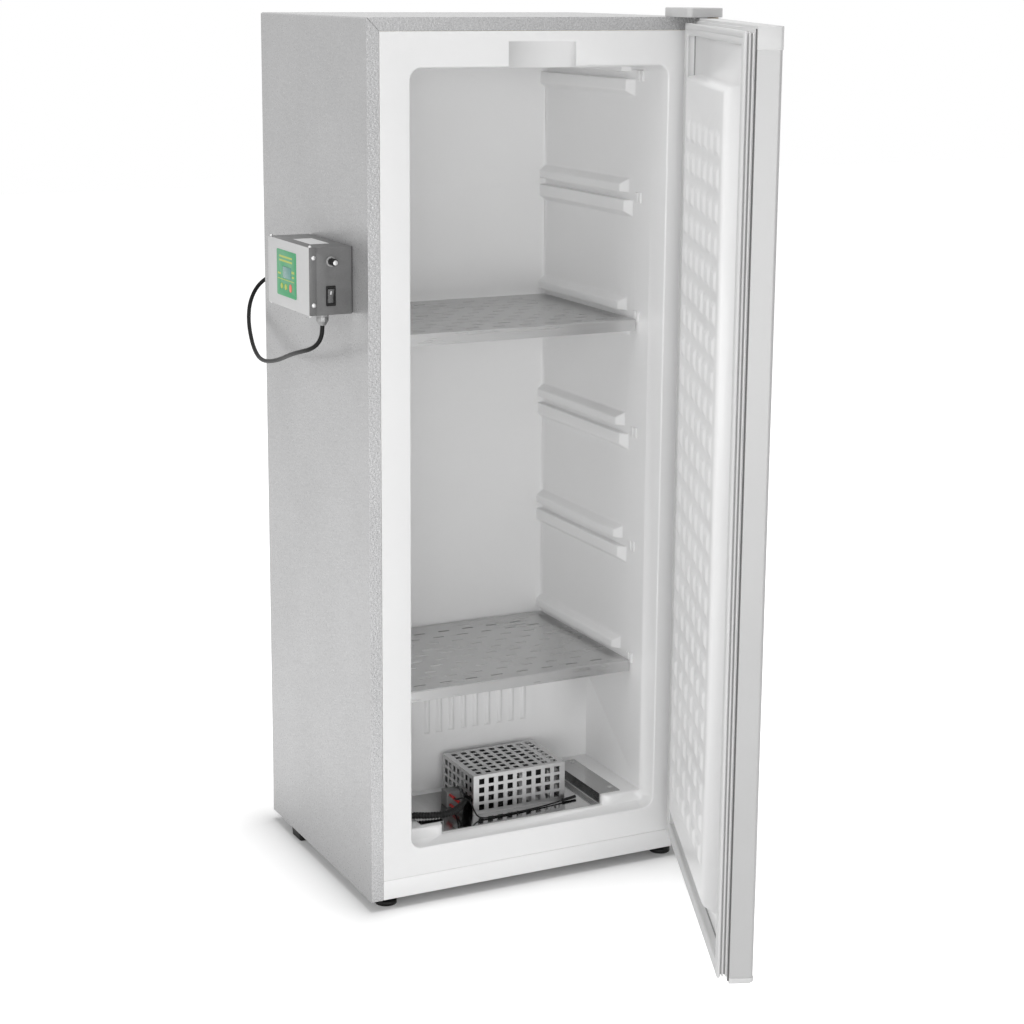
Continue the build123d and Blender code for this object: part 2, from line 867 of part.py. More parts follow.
def crimp_places():
    """Middle of each crimp in X and Z."""
    return [(strip_left + across, tray_top + up) for across, up in crimp_spots]


def make_terminal_strip():
    return block(
        strip_left, strip_right, strip_front, strip_front + strip_depth, tray_top, tray_top + strip_height,
    )


def make_crimp_terminals():
    near = strip_front - crimp_length
    return [rod(crimp_radius, near, strip_front, "y", place) for place in crimp_places()]


def conduit_section(path, distance, radius):
    """A section square to the conduit's line at a distance along it, with a level first axis."""
    share = distance / path.length
    along = path % share
    square = Plane(origin=path @ share, x_dir=along.cross(Vector(0, 0, 1)), z_dir=along)
    return square * RegularPolygon(radius, conduit_sides)


def make_wiring_conduit():
    """A ribbed conduit: four sections to a rib, with plain ends and a smooth bore."""
    path = conduit_path
    plain = 2 * conduit_rib_radius
    count = int((path.length - 2 * plain) // conduit_pitch)
    sections = [conduit_section(path, 0, conduit_valley_radius)]
    for number in range(count):
        foot = plain + number * conduit_pitch + conduit_valley / 2
        far_foot = foot + conduit_pitch - conduit_valley
        for distance, radius in (
            (foot, conduit_valley_radius), (foot + conduit_slope, conduit_rib_radius),
            (far_foot - conduit_slope, conduit_rib_radius), (far_foot, conduit_valley_radius),
        ):
            sections.append(conduit_section(path, distance, radius))
    sections.append(conduit_section(path, path.length, conduit_valley_radius))
    print("wiring_conduit ribs", count, "gap between ribs", conduit_valley)
    stations = [path.length * number / conduit_bore_steps for number in range(conduit_bore_steps + 1)]
    bore = loft([conduit_section(path, distance, conduit_bore_radius) for distance in stations], ruled=True)
    return loft(sections, ruled=True) - bore


def conduit_exits():
    """Where three wires and, last, the sensor lead leave the end of the conduit, and their direction."""
    end = conduit_path @ 1
    along = conduit_path % 1
    aside = along.cross(Vector(0, 0, 1)).normalized() * wire_spread
    lift = Vector(0, 0, wire_spread)
    exits = [end - aside + lift, end - aside - lift, end + aside + lift, end + aside - lift]
    return exits, along


def make_heater_wires():
    """Three wires from the end of the conduit to the crimps."""
    starts, along = conduit_exits()
    wires = []
    for number, (start, (x, z)) in enumerate(zip(starts, crimp_places())):
        goal = Vector(x, strip_front - crimp_length, z)
        straight = start + along * wire_straight
        approach = goal - Vector(0, wire_straight, 0)
        middle = (straight + approach) * 0.5 + Vector(0, 0, wire_rise + number * wire_rise_step)
        route = [start, straight, middle, approach, goal]
        wires.append(cord(route, wire_diameter, wire_sides, f"heater_wire_{number}"))
    return wires


def sensor_route():
    """The sensor lead's points, from the conduit down to the trough and along it."""
    exits, along = conduit_exits()
    points = [exits[-1], exits[-1] + along * sensor_straight]
    for run, deep, up in sensor_trough_run:
        points.append(Vector(-trough_half + run, tray_front + deep, tray_top + up))
    return points


sensor_points = sensor_route()


def make_sensor_probe():
    """A plain probe in line with the end of its lead."""
    start = sensor_points[-1]
    along = (start - sensor_points[-2]).normalized()
    probe = extrude(Plane(origin=start, z_dir=along) * Circle(probe_radius), amount=probe_length, dir=along)
    return probe


def make_conduit_bush():
    """An oval wall plate with a collar round the conduit."""
    y, z = conduit_points[0][1:]
    plate = Pos(y, z) * RectangleRounded(bush_length, bush_height, bush_corner)
    inner = conduit_rib_radius + bush_clearance
    collar = Pos(y, z) * (Circle(inner + bush_collar_wall) - Circle(inner))
    return along_x(plate, -cavity_half, bush_face) + along_x(collar, bush_face, bush_face + bush_collar)


# Control box

def make_control_box():
    """A deep metal box open towards the plate, with holes for the fuse, switch and gland."""
    shell = block(box_left, -half_width, box_front, box_back, box_bottom, box_top)
    shell -= block(
        box_left, -half_width - box_wall, box_front + box_wall, box_back - box_wall,
        box_bottom + box_wall, box_top - box_wall,
    )
    fuse = rod(fuse_barrel_radius + panel_gap, box_front, box_front + box_wall, "y", fuse_place())
    body = Pos(*switch_place()) * Rectangle(switch_body_width + panel_gap, switch_body_height + panel_gap)
    switch = along_y(body, box_front, box_front + box_wall)
    gland = rod(gland_thread_radius + panel_gap, box_bottom, box_bottom + box_wall, "z", (gland_x, gland_y))
    return shell - [fuse, switch, gland]


def fuse_place():
    return (box_left + fuse_depth, box_bottom + fuse_up)


def switch_place():
    return (box_left + switch_depth, box_bottom + switch_up)


def key_face(name):
    y = box_front + key_spots[name]
    z = box_bottom + key_up_row
    return (y, z)


def key_outline(name, grow):
    if name == "key_power":
        return SlotOverall(oval_key_length + 2 * grow, oval_key_width + 2 * grow, rotation=90)
    return Circle(round_key_radius + grow)


def board_studs():
    low_y = box_front + board_from_front + stud_inset
    high_y = box_front + board_from_front + board_length - stud_inset
    low_z = box_bottom + board_up + stud_inset
    high_z = box_bottom + board_up + board_height - stud_inset
    return [(y, z) for y in (low_y, high_y) for z in (low_z, high_z)]


def make_control_plate():
    """The lid of the control box: a thick plate with a lip over each end and studs for the board."""
    ends = plate_lip_sheet
    plan = rect(plate_left, box_left, box_front - ends, box_back + ends)
    for low in (box_front - ends, box_back):
        plan += rect(box_left, box_left + plate_lip, low, low + ends)
    plate = along_z(plan, box_bottom, box_top)
    for name in key_spots:
        pocket = Pos(*key_face(name)) * key_outline(name, panel_gap)
        plate -= along_x(pocket, plate_left, plate_left + key_pocket)
    studs = [rod(stud_radius, box_left, box_left + board_stand_off, "x", place) for place in board_studs()]
    return plate + studs


def display_outline(grow):
    y = box_front + display_from_front + display_length / 2
    z = box_bottom + display_up + display_height / 2
    return Pos(y, z) * Rectangle(display_length + 2 * grow, display_height + 2 * grow)


def make_keypad_overlay():
    """The printed film over the keys and the display."""
    y = box_front + overlay_from_front + overlay_length / 2
    z = box_bottom + overlay_up + overlay_height / 2
    film = Pos(y, z) * RectangleRounded(overlay_length, overlay_height, overlay_corner)
    film -= display_outline(panel_gap)
    for name in key_spots:
        film -= Pos(*key_face(name)) * key_outline(name, panel_gap)
    return along_x(film, plate_left - overlay_thickness, plate_left)


def make_display_window():
    return along_x(display_outline(0), plate_left - overlay_thickness - display_proud, plate_left)


def make_key(name):
    outer = plate_left - overlay_thickness - key_proud
    return along_x(Pos(*key_face(name)) * key_outline(name, 0), outer, plate_left + key_depth)


def make_circuit_board():
    near = box_front + board_from_front
    low = box_bottom + board_up
    face = box_left + board_stand_off
    return block(face, face + board_thickness, near, near + board_length, low, low + board_height)


def make_fuse_holder():
    """A panel fuse holder: bezel outside, barrel inside, bored for the carrier."""
    place = fuse_place()
    holder = rod(fuse_bezel_radius, box_front - fuse_bezel, box_front, "y", place)
    holder += rod(fuse_barrel_radius, box_front, box_front + fuse_barrel, "y", place)
    return holder - rod(fuse_bore_radius, box_front - fuse_bezel, box_front + fuse_bore, "y", place)


def make_fuse_cap():
    """The turning cap with its bright tip and the fuse carrier behind it."""
    place = fuse_place()
    seat = box_front - fuse_bezel - cap_gap
    cap = rod(cap_radius, seat - cap_length, seat, "y", place)
    cap += rod(cap_tip_radius, seat - cap_length - cap_tip, seat - cap_length, "y", place)
    return cap + rod(cap_stem_radius, seat, seat + cap_stem, "y", place)


def rocker_pivot():
    """Depth and height of the rocker's pivot."""
    return box_front + rocker_inset, switch_place()[1]


def make_switch_housing():
    """A rocker switch body with its bezel outside the box and a well for the rocker."""
    place = switch_place()
    front_face = box_front - switch_bezel
    bezel = RectangleRounded(switch_bezel_width, switch_bezel_height, switch_bezel_corner)
    housing = along_y(Pos(*place) * bezel, front_face, box_front)
    body = Rectangle(switch_body_width, switch_body_height)
    housing += along_y(Pos(*place) * body, box_front, box_front + switch_body)
    well = Rectangle(rocker_width + 2 * rocker_gap, 2 * (rocker_radius + rocker_gap))
    well_back = rocker_pivot()[0] + rocker_radius + rocker_gap
    return housing - along_y(Pos(*place) * well, front_face, well_back)


def make_switch_rocker():
    """A rocker: a round-backed bar with two faces that meet in a shallow crease, tilted to off."""
    y, z = rocker_pivot()
    x = switch_place()[0]
    reach = 2 * rocker_radius
    rise = reach * tan(radians(rocker_tilt))
    faces = outline(
        (reach, -reach), (-rocker_crease - rise, -reach), (-rocker_crease, 0),
        (-rocker_crease - rise, reach), (reach, reach),
    )
    profile = (Circle(rocker_radius) & faces).faces()[0]
    bar = along_x(Sketch() + profile, -rocker_width / 2, rocker_width / 2)
    return Pos(x, y, z) * Rot(rocker_tilt, 0, 0) * bar


def make_cable_gland():
    """A gland body: thread through the box floor and a hexagon below it."""
    spot = (gland_x, gland_y)
    thread = rod(gland_thread_radius, box_bottom, box_bottom + gland_thread, "z", spot)
    flange = along_z(Pos(*spot) * RegularPolygon(gland_hex, 6), box_bottom - gland_flange, box_bottom)
    return thread + flange


def make_gland_nut():
    """The many-sided nut that grips the lead, tapering down to it."""
    top = box_bottom - gland_flange
    waist = top - gland_nut_height / 2
    spot = Pos(gland_x, gland_y)
    grip = along_z(spot * RegularPolygon(gland_nut_radius, gland_nut_sides), waist, top)
    shoulder = gland_nut_radius - gland_nut_shoulder
    tip = Cone(gland_nut_tip_radius, shoulder, waist - lead_exit)
    return grip + Pos(gland_x, gland_y, (waist + lead_exit) / 2) * tip


def make_lead_clip():
    """A clip round the lead, with a tab flat on the back panel."""
    x, y, z = lead_drop_points[0]
    inner = lead_diameter / 2 + clip_bore_gap
    ring = Pos(x, y) * Circle(inner + clip_wall)
    tab = rect(x, x + clip_tab, back, back + clip_tab_sheet)
    plan = ring + tab - Pos(x, y) * Circle(inner) - rect(x - clip_tab, x + clip_tab, back - clip_tab, back)
    return along_z(plan, z - clip_height / 2, z + clip_height / 2)


def make_mains_plug():
    """A two-pin plug lying on the floor, with a sleeve on the lead."""
    x, y, z = lead_drop_points[-1]
    plug = along_z(RegularPolygon(plug_sleeve_radius, plug_sides), 0, plug_sleeve)
    plug += along_z(RegularPolygon(plug_neck_radius, plug_sides), plug_sleeve, plug_sleeve + plug_neck)
    body_start = plug_sleeve + plug_neck
    plug += along_z(RegularPolygon(plug_radius, plug_sides), body_start, body_start + plug_body)
    face = plug_sleeve + plug_neck + plug_body
    for side in (-0.5, 0.5):
        plug += rod(plug_pin_radius, face, face + plug_pin, "z", (0, side * plug_pin_spacing))
    return Pos(x, y, z) * Rot(0, 90, 0) * plug


# Door, drawn closed

def door_plan(inset, radius):
    """The door's section seen from above, drawn in by an inset on three sides."""
    plan = rect(-half_width + inset, half_width - inset, door_outer + inset, door_inner)
    return fillet(plan.vertices().group_by(Axis.Y)[0], radius)


def make_door_skin():
    low = door_bottom + door_bottom_cap
    high = door_top - door_top_cap
    section = door_plan(0, door_edge_radius) - door_plan(sheet, door_edge_radius - sheet)
    edge = half_width - door_return
    section += rect(-half_width + sheet, -edge, door_inner - sheet, door_inner)
    section += rect(edge, half_width - sheet, door_inner - sheet, door_inner)
    return along_z(section, low, high)


def make_door_foam():
    low = door_bottom + door_bottom_cap
    high = door_top - door_top_cap
    edge = half_width - door_return
    section = door_plan(sheet, door_edge_radius - sheet)
    section -= rect(-half_width, -edge, door_inner - sheet, door_inner)
    section -= rect(edge, half_width, door_inner - sheet, door_inner)
    return along_z(section, low, high) + raised_panel(door_liner_wall)


def door_frustum(base, base_y, crown, crown_y):
    """A drafted slab between two rectangles, each given as low x, high x, low z, high z."""
    low_x, high_x, low_z, high_z = base
    corner = (Align.MIN, Align.MIN, Align.MIN)
    slab = Wedge(
        high_x - low_x, crown_y - base_y, high_z - low_z,
        crown[0] - low_x, crown[2] - low_z, crown[1] - low_x, crown[3] - low_z, align=corner,
    )
    return Pos(low_x, base_y, low_z) * slab


def raised_panel(inset):
    """The raised middle of the door liner; an inset gives the hollow behind it."""
    half = half_width - panel_side - inset
    low = door_bottom + panel_bottom + inset
    high = door_top - panel_top - inset
    base = (-half - panel_draft, half + panel_draft, low - panel_bottom_draft, high + panel_top_draft)
    return door_frustum(base, door_inner, (-half, half, low, high), door_inner + panel_height - inset)


def bumps():
    """The grid of shallow pillow bumps on the raised panel."""
    face = door_inner + panel_height
    top_row = door_top - panel_top - bump_top_margin
    bottom_row = door_bottom + panel_bottom + bump_bottom_margin
    rows = int((top_row - bottom_row) // bump_pitch_z) + 1
    grid = []
    for x in spread(bump_columns, bump_pitch_x, 0):
        for number in range(rows):
            z = top_row - number * bump_pitch_z
            half_w = bump_width / 2
            half_h = bump_height / 2
            base = (x - half_w, x + half_w, z - half_h, z + half_h)
            crown = (base[0] + bump_draft, base[1] - bump_draft, base[2] + bump_draft, base[3] - bump_draft)
            grid.append(door_frustum(base, face, crown, face + bump_proud))
    return grid


def make_door_liner():
    """The moulded inner face of the door: a thin flange, a raised hollow panel and its bumps."""
    half = half_width - door_liner_inset
    flange = rect(-half, half, door_bottom + door_liner_inset, door_top - door_liner_inset)
    liner = along_y(flange, door_inner, door_inner + door_liner_wall) + raised_panel(0)
    return liner - raised_panel(door_liner_wall) + bumps()


def make_door_gasket():
    """A magnetic seal: a frame of tapering section on the liner's flange."""
    seat = door_inner + door_liner_wall
    face = front - gasket_clearance

    def around(inset):
        half = half_width - inset
        return (-half, half, door_bottom + inset, door_top - inset)

    outer = door_frustum(around(gasket_inset), seat, around(gasket_inset + gasket_outer_draft), face)
    inset = gasket_inset + gasket_width
    return outer - door_frustum(around(inset), seat, around(inset - gasket_inner_draft), face)


def cap_plan():
    proud = rect(-half_width - cap_proud, half_width + cap_proud, door_outer - cap_proud, door_inner)
    return fillet(proud.vertices().group_by(Axis.Y)[0], door_edge_radius + cap_proud)


def make_door_top_cap():
    cap = along_z(cap_plan(), door_top - door_top_cap, door_top)
    hole = upper_pin_radius + pin_clearance + bush_wall + pin_clearance
    return cap - rod(hole, door_top - upper_bush_depth, door_top, "z", (hinge_x, hinge_y))


def make_door_bottom_cap():
    cap = along_z(cap_plan(), door_bottom, door_bottom + door_bottom_cap)
    rim = [edge for edge in cap.faces().sort_by(Axis.Z)[0].edges() if edge.center().Y < door_inner - sheet]
    cap = chamfer(rim, cap_round)
    hole = lower_pin_radius + pin_clearance + bush_wall + pin_clearance
    return cap - rod(hole, door_bottom, door_bottom + door_bottom_cap, "z", (hinge_x, hinge_y))


def bush(pin_radius, low, high, flange_low, flange_high):
    spot = (hinge_x, hinge_y)
    bore = pin_radius + pin_clearance
    body = rod(bore + bush_wall, low, high, "z", spot)
    body += rod(bore + bush_wall + bush_flange_wider, flange_low, flange_high, "z", spot)
    return body - rod(bore, min(low, flange_low), max(high, flange_high), "z", spot)


def make_door_bushes():
    upper = bush(upper_pin_radius, door_top - upper_bush_depth, door_top, door_top, door_top + bush_flange)
    lower_high = door_bottom + door_bottom_cap
    lower = bush(lower_pin_radius, door_bottom, lower_high, door_bottom - bush_flange, door_bottom)
    return [upper, lower]


# Hinges

def make_upper_hinge_plate():
    """A flat plate on the cabinet top with an eye out over the door's edge."""
    far = front + hinge_plate_depth
    right = hinge_x + hinge_eye_radius
    eye = Pos(hinge_x, hinge_y) * Circle(hinge_eye_radius)
    plan = rect(right - hinge_plate_length, right, front + hinge_plate_edge, far)
    plan += rect(hinge_x - hinge_eye_radius, right, hinge_y, far) + eye
    plan -= Pos(hinge_x, hinge_y) * Circle(upper_pin_radius + pin_clearance)
    return along_z(plan, shell_top, shell_top + hinge_plate_sheet)


def make_upper_hinge_pin():
    spot = (hinge_x, hinge_y)
    seat = shell_top + hinge_plate_sheet
    pin = rod(upper_pin_radius, door_top - upper_pin_reach, seat, "z", spot)
    return pin + rod(upper_pin_radius + pin_head_wider, seat, seat + pin_head, "z", spot)


def make_hinge_cover():
    """A shallow moulded cover, open below, over the upper hinge."""
    left = half_width - hinge_cover_length
    near = front - hinge_cover_overhang
    far = near + hinge_cover_depth
    top = shell_top + hinge_cover_height

    def plan(inset, radius):
        face = rect(left + inset, half_width - inset, near + inset, far - inset)
        return fillet(face.vertices(), radius)

    cover = along_z(plan(0, hinge_cover_corner), shell_top, top)
    cover = chamfer(cover.faces().sort_by(Axis.Z)[-1].edges(), hinge_cover_wall / 2)
    wall = hinge_cover_wall
    return cover - along_z(plan(wall, hinge_cover_corner - wall), shell_top, top - wall)


def make_lower_hinge_bracket():
    """An angle bracket under the door: one leg on the cabinet front, one leg out to the pin."""
    right = half_width - bracket_edge
    left = right - bracket_width
    leg = rect(left, right, shell_bottom + bracket_edge, bracket_top)
    upright = along_y(leg, front - bracket_plate, front)
    eye_radius = right - hinge_x
    arm = rect(left, right, hinge_y, front) + Pos(hinge_x, hinge_y) * Circle(eye_radius)
    arm += Pos(left + eye_radius, hinge_y) * Circle(eye_radius)
    arm -= Pos(hinge_x, hinge_y) * Circle(lower_pin_radius + pin_clearance)
    return upright + along_z(arm, bracket_top - bracket_plate, bracket_top)


def make_lower_hinge_pin():
    spot = (hinge_x, hinge_y)
    seat = bracket_top - bracket_plate
    pin = rod(lower_pin_radius, seat, door_bottom + lower_pin_reach, "z", spot)
    return pin + rod(lower_pin_radius + pin_head_wider, seat - pin_head, seat, "z", spot)


# Every piece by name

pieces = {
    "outer_wrapper": make_outer_wrapper(),
    "back_panel": make_back_panel(),
    "base_pan": make_base_pan(),
    "plinth": make_plinth(),
    "rear_feet": make_rear_feet(),
    "inner_liner": make_inner_liner(),
    "insulation_foam": make_insulation_foam(),
    "shelf_stops": make_shelf_stops(),
    "upper_shelf": make_shelf(levels[upper_shelf_level]),
    "lower_shelf": make_shelf(levels[lower_shelf_level]),
    "heater_tray": make_heater_tray(),
    "heater_cage": make_heater_cage(),
    "fan_frame": make_fan_frame(),
    "fan_rotor": make_fan_rotor(),
    "heating_element": make_heating_element(),
    "element_brackets": make_element_brackets(),
    "thermal_cutout": make_thermal_cutout(),
    "terminal_strip": make_terminal_strip(),
    "crimp_terminals": make_crimp_terminals(),
    "heater_wires": make_heater_wires(),
    "wiring_conduit": make_wiring_conduit(),
    "conduit_bush": make_conduit_bush(),
    "sensor_lead": cord(sensor_points, wire_diameter, wire_sides, "sensor_lead"),
    "sensor_probe": make_sensor_probe(),
    "control_box": make_control_box(),
    "control_plate": make_control_plate(),
    "keypad_overlay": make_keypad_overlay(),
    "display_window": make_display_window(),
    "circuit_board": make_circuit_board(),
    "fuse_holder": make_fuse_holder(),
    "fuse_cap": make_fuse_cap(),
    "switch_housing": make_switch_housing(),
    "switch_rocker": make_switch_rocker(),
    "cable_gland": make_cable_gland(),
    "gland_nut": make_gland_nut(),
    "lead_loop": cord(lead_loop_points, lead_diameter, lead_sides, "lead_loop"),
    "lead_drop": cord(lead_drop_points, lead_diameter, lead_sides, "lead_drop"),
    "lead_clip": make_lead_clip(),
    "mains_plug": make_mains_plug(),
    "upper_hinge_plate": make_upper_hinge_plate(),
    "upper_hinge_pin": make_upper_hinge_pin(),
    "hinge_cover": make_hinge_cover(),
    "lower_hinge_bracket": make_lower_hinge_bracket(),
    "lower_hinge_pin": make_lower_hinge_pin(),
}
pieces.update({name: make_foot(spot) for name, spot in foot_spots.items()})
pieces.update({name: make_key(name) for name in key_spots})

door_pieces = {
    "door_skin": make_door_skin(),
    "door_foam": make_door_foam(),
    "door_liner": make_door_liner(),
    "door_gasket": make_door_gasket(),
    "door_top_cap": make_door_top_cap(),
    "door_bottom_cap": make_door_bottom_cap(),
    "door_bushes": make_door_bushes(),
}


def solids_of(shape):
    """The separate solids of a piece, or of a group of like pieces."""
    group = shape if isinstance(shape, list) else [shape]
    return [solid for member in group for solid in member.solids()]


def write(name, solids):
    shape = solids[0] if len(solids) == 1 else Compound(children=solids)
    export_step(shape, f"parts/{name}.step")


os.makedirs("parts", exist_ok=True)
for name, shape in pieces.items():
    write(name, solids_of(shape))
for name, shape in door_pieces.items():
    write(name, [door_turn * solid for solid in solids_of(shape)])
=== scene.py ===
import json
from math import pi, radians

import bmesh
import bpy
from mathutils import Matrix, Vector


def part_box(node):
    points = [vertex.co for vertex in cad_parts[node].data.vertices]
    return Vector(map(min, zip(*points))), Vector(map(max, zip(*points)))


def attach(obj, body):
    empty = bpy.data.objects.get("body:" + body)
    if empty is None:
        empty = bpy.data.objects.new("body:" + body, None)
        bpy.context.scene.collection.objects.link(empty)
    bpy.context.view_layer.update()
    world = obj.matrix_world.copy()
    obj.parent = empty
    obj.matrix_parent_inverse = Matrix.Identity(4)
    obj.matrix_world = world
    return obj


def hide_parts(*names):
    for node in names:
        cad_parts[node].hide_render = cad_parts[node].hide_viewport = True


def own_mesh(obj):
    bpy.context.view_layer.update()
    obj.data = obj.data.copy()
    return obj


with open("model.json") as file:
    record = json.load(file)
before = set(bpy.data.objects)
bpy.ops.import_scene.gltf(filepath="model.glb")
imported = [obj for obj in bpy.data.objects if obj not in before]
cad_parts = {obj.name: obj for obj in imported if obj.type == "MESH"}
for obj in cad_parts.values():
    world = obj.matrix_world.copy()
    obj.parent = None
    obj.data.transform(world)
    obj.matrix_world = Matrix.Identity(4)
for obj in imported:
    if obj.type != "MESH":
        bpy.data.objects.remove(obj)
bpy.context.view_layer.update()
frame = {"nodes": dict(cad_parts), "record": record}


# Outer wrapper
# One steel sheet folded round the left side, the top and the right side, with a narrow flange round the
# front. It is sprayed with a silver hammer paint whose grain shows close to.

class Socket:
    """One output of a node tree. Arithmetic on it adds Math nodes."""

    def __init__(self, tree, output):
        self.tree = tree
        self.output = output

    def node(self, kind, settings, values, output=0):
        """A new node of a kind: its settings first, then the values or links of its sockets."""
        made = self.tree.nodes.new(kind)
        for name, value in settings.items():
            setattr(made, name, value)
        for name, value in values.items():
            sources = value if isinstance(value, list) else [value]
            for source in sources:
                if isinstance(source, Socket):
                    self.tree.links.new(source.output, made.inputs[name])
                else:
                    made.inputs[name].default_value = source
        return Socket(self.tree, made.outputs[output])

    def maths(self, operation, first, second=0.0):
        return self.node("ShaderNodeMath", {"operation": operation}, {0: first, 1: second})

    def __add__(self, other):
        return self.maths("ADD", self, other)

    def __radd__(self, other):
        return self.maths("ADD", other, self)

    def __sub__(self, other):
        return self.maths("SUBTRACT", self, other)

    def __rsub__(self, other):
        return self.maths("SUBTRACT", other, self)

    def __mul__(self, other):
        return self.maths("MULTIPLY", self, other)

    def __rmul__(self, other):
        return self.maths("MULTIPLY", other, self)

    def __truediv__(self, other):
        return self.maths("DIVIDE", self, other)

    def __rtruediv__(self, other):
        return self.maths("DIVIDE", other, self)

    def clipped(self):
        """This value, kept between 0 and 1."""
        return self.node("ShaderNodeClamp", {}, {"Value": self})

    def noise(self, scale, detail=2.0, stretch=(1.0, 1.0, 1.0)):
        """Cloudy noise from 0 to 1 at this place, so many times a metre."""
        place = self.node("ShaderNodeMapping", {}, {"Vector": self, "Scale": stretch})
        return self.node("ShaderNodeTexNoise", {}, {"Vector": place, "Scale": scale, "Detail": detail})

    def cells(self, scale):
        """Distance from the middles of rounded cells, so many times a metre."""
        return self.node("ShaderNodeTexVoronoi", {"feature": "SMOOTH_F1"}, {"Vector": self, "Scale": scale})

    def tint(self, low, high):
        """A colour between two, by this value."""
        return self.node("ShaderNodeMix", {"data_type": "RGBA"}, {0: self, 6: low, 7: high}, 2)

    def bump(self, distance):
        return self.node("ShaderNodeBump", {}, {"Distance": distance, "Height": self})

    def into(self, socket):
        """Feeds one socket of the finish's surface."""
        surface = self.tree.nodes["Principled BSDF"]
        self.tree.links.new(self.output, surface.inputs[socket])


def finish(name, **constants):
    """A new material with plain values on its surface's sockets, and its place coordinates."""
    material = bpy.data.materials.new(name)
    material.use_nodes = True
    tree = material.node_tree
    for socket, value in constants.items():
        tree.nodes["Principled BSDF"].inputs[socket.replace("_", " ")].default_value = value
    return material, Socket(tree, tree.nodes.new("ShaderNodeTexCoord").outputs["Object"])


def grey(level):
    return (level, level, level, 1.0)


nodes = frame["nodes"]


def dress(material, *pieces):
    """Gives pieces of the frame their finish."""
    for piece in pieces:
        mesh = nodes[piece].data
        mesh.materials.clear()
        mesh.materials.append(material)


wrapper_low, wrapper_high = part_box("outer_wrapper")
flange_depth = 0.0012


def hammered(name, low, high):
    """Silver hammer paint: shallow cells a few millimetres wide, fuller on the front flange, whose colour is
    lighter there as a painted sheen.
    """
    material, place = finish(name, Metallic=0.35)
    depth = place.node("ShaderNodeSeparateXYZ", {}, {0: place}, "Y")
    flange = depth.maths("LESS_THAN", depth, wrapper_low.y + flange_depth)
    grain = (1.0 - place.cells(270.0)) * 0.6 + place.noise(480.0) * 0.4
    # On the front flange the colour is lighter: a painted sheen, besides the real lower roughness and deeper
    # grain.
    (0.1 + grain * 0.40 + place.noise(5.0, 3.0) * 0.35 + flange * 0.3).tint(low, high).into("Base Color")
    (0.44 - grain * 0.24 - flange * 0.04).into("Roughness")
    (grain * (0.4 + flange * 0.45)).bump(0.0009).into("Normal")
    return material


silver_paint = hammered("silver_paint", grey(0.29), (0.56, 0.56, 0.565, 1.0))
dress(silver_paint, "outer_wrapper")


def placed(name, data):
    """A new object of the scene."""
    piece = bpy.data.objects.new(name, data)
    bpy.context.scene.collection.objects.link(piece)
    return piece


flange_width = 0.021
seam_length = 0.028
seam_height = 0.0002
seam_width = 0.0007
seam_size = Matrix.Diagonal((seam_length, seam_height, seam_width, 1.0))
seam_form = bmesh.new()
for side, lean in ((-1, pi / 4), (1, -pi / 4)):
    middle = Vector((
        side * (wrapper_high.x - flange_width / 2), wrapper_low.y, wrapper_high.z - flange_width / 2,
    ))
    turn = Matrix.Translation(middle) @ Matrix.Rotation(lean, 4, "Y") @ seam_size
    bmesh.ops.create_cube(seam_form, size=1.0, matrix=turn)
seam_mesh = bpy.data.meshes.new("flange_seams")
seam_form.to_mesh(seam_mesh)
seam_form.free()
seam_mesh.materials.append(hammered("seam_shade", grey(0.10), grey(0.16)))
flange_seams = placed("flange_seams", seam_mesh)
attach(flange_seams, "cabinet")


# Back panel and base pan
# A flat zinc-coated sheet lies between the wrapper's rear edges and is held by small screws; the base is
# a folded pan of the same sheet with bosses for the front feet.

def brushed(name, low, high, rough, stretch, **constants):
    """Bare metal sheet with fine drawn lines."""
    material, place = finish(name, Metallic=1.0, **constants)
    lines = place.noise(220.0, 4.0, stretch)
    cloud = place.noise(9.0, 3.0)
    (lines * 0.5 + cloud * 0.5).tint(grey(low), grey(high)).into("Base Color")
    (rough + lines * 0.12 + cloud * 0.06).into("Roughness")
    lines.bump(0.00003).into("Normal")
    return material


zinc_sheet = brushed("zinc_sheet", 0.50, 0.66, 0.34, (1.0, 1.0, 0.06))
dress(zinc_sheet, "back_panel", "base_pan")


def new_tree(name, inputs):
    """A Geometry Nodes tree with named inputs, and those inputs as sockets."""
    tree = bpy.data.node_groups.new(name, "GeometryNodeTree")
    tree.interface.new_socket("Geometry", in_out="INPUT", socket_type="NodeSocketGeometry")
    for label, kind in inputs.items():
        tree.interface.new_socket(label, in_out="INPUT", socket_type=kind)
    tree.interface.new_socket("Geometry", in_out="OUTPUT", socket_type="NodeSocketGeometry")
    source = tree.nodes.new("NodeGroupInput")
    return tree, {output.name: Socket(tree, output) for output in source.outputs if output.name}


def close_tree(tree, geometry, material):
    """Ends a tree: instances made real, then the finish."""
    real = geometry.node("GeometryNodeRealizeInstances", {}, {"Geometry": geometry})
    coated = real.node("GeometryNodeSetMaterial", {}, {"Geometry": real, "Material": material})
    tree.links.new(coated.output, tree.nodes.new("NodeGroupOutput").inputs["Geometry"])


def grown(name, seed_data, tree, values):
    """A plain mesh piece from a seed mesh or curve and a tree whose inputs are set by name."""
    seed = placed(name + "_seed", seed_data)
    modifier = seed.modifiers.new("tree", "NODES")
    modifier.node_group = tree
    for item in tree.interface.items_tree:
        if item.in_out == "INPUT" and item.name in values:
            modifier[item.identifier] = values[item.name]
    evaluated = seed.evaluated_get(bpy.context.evaluated_depsgraph_get())
    mesh = bpy.data.meshes.new_from_object(evaluated)
    bpy.data.objects.remove(seed)
    return placed(name, mesh)


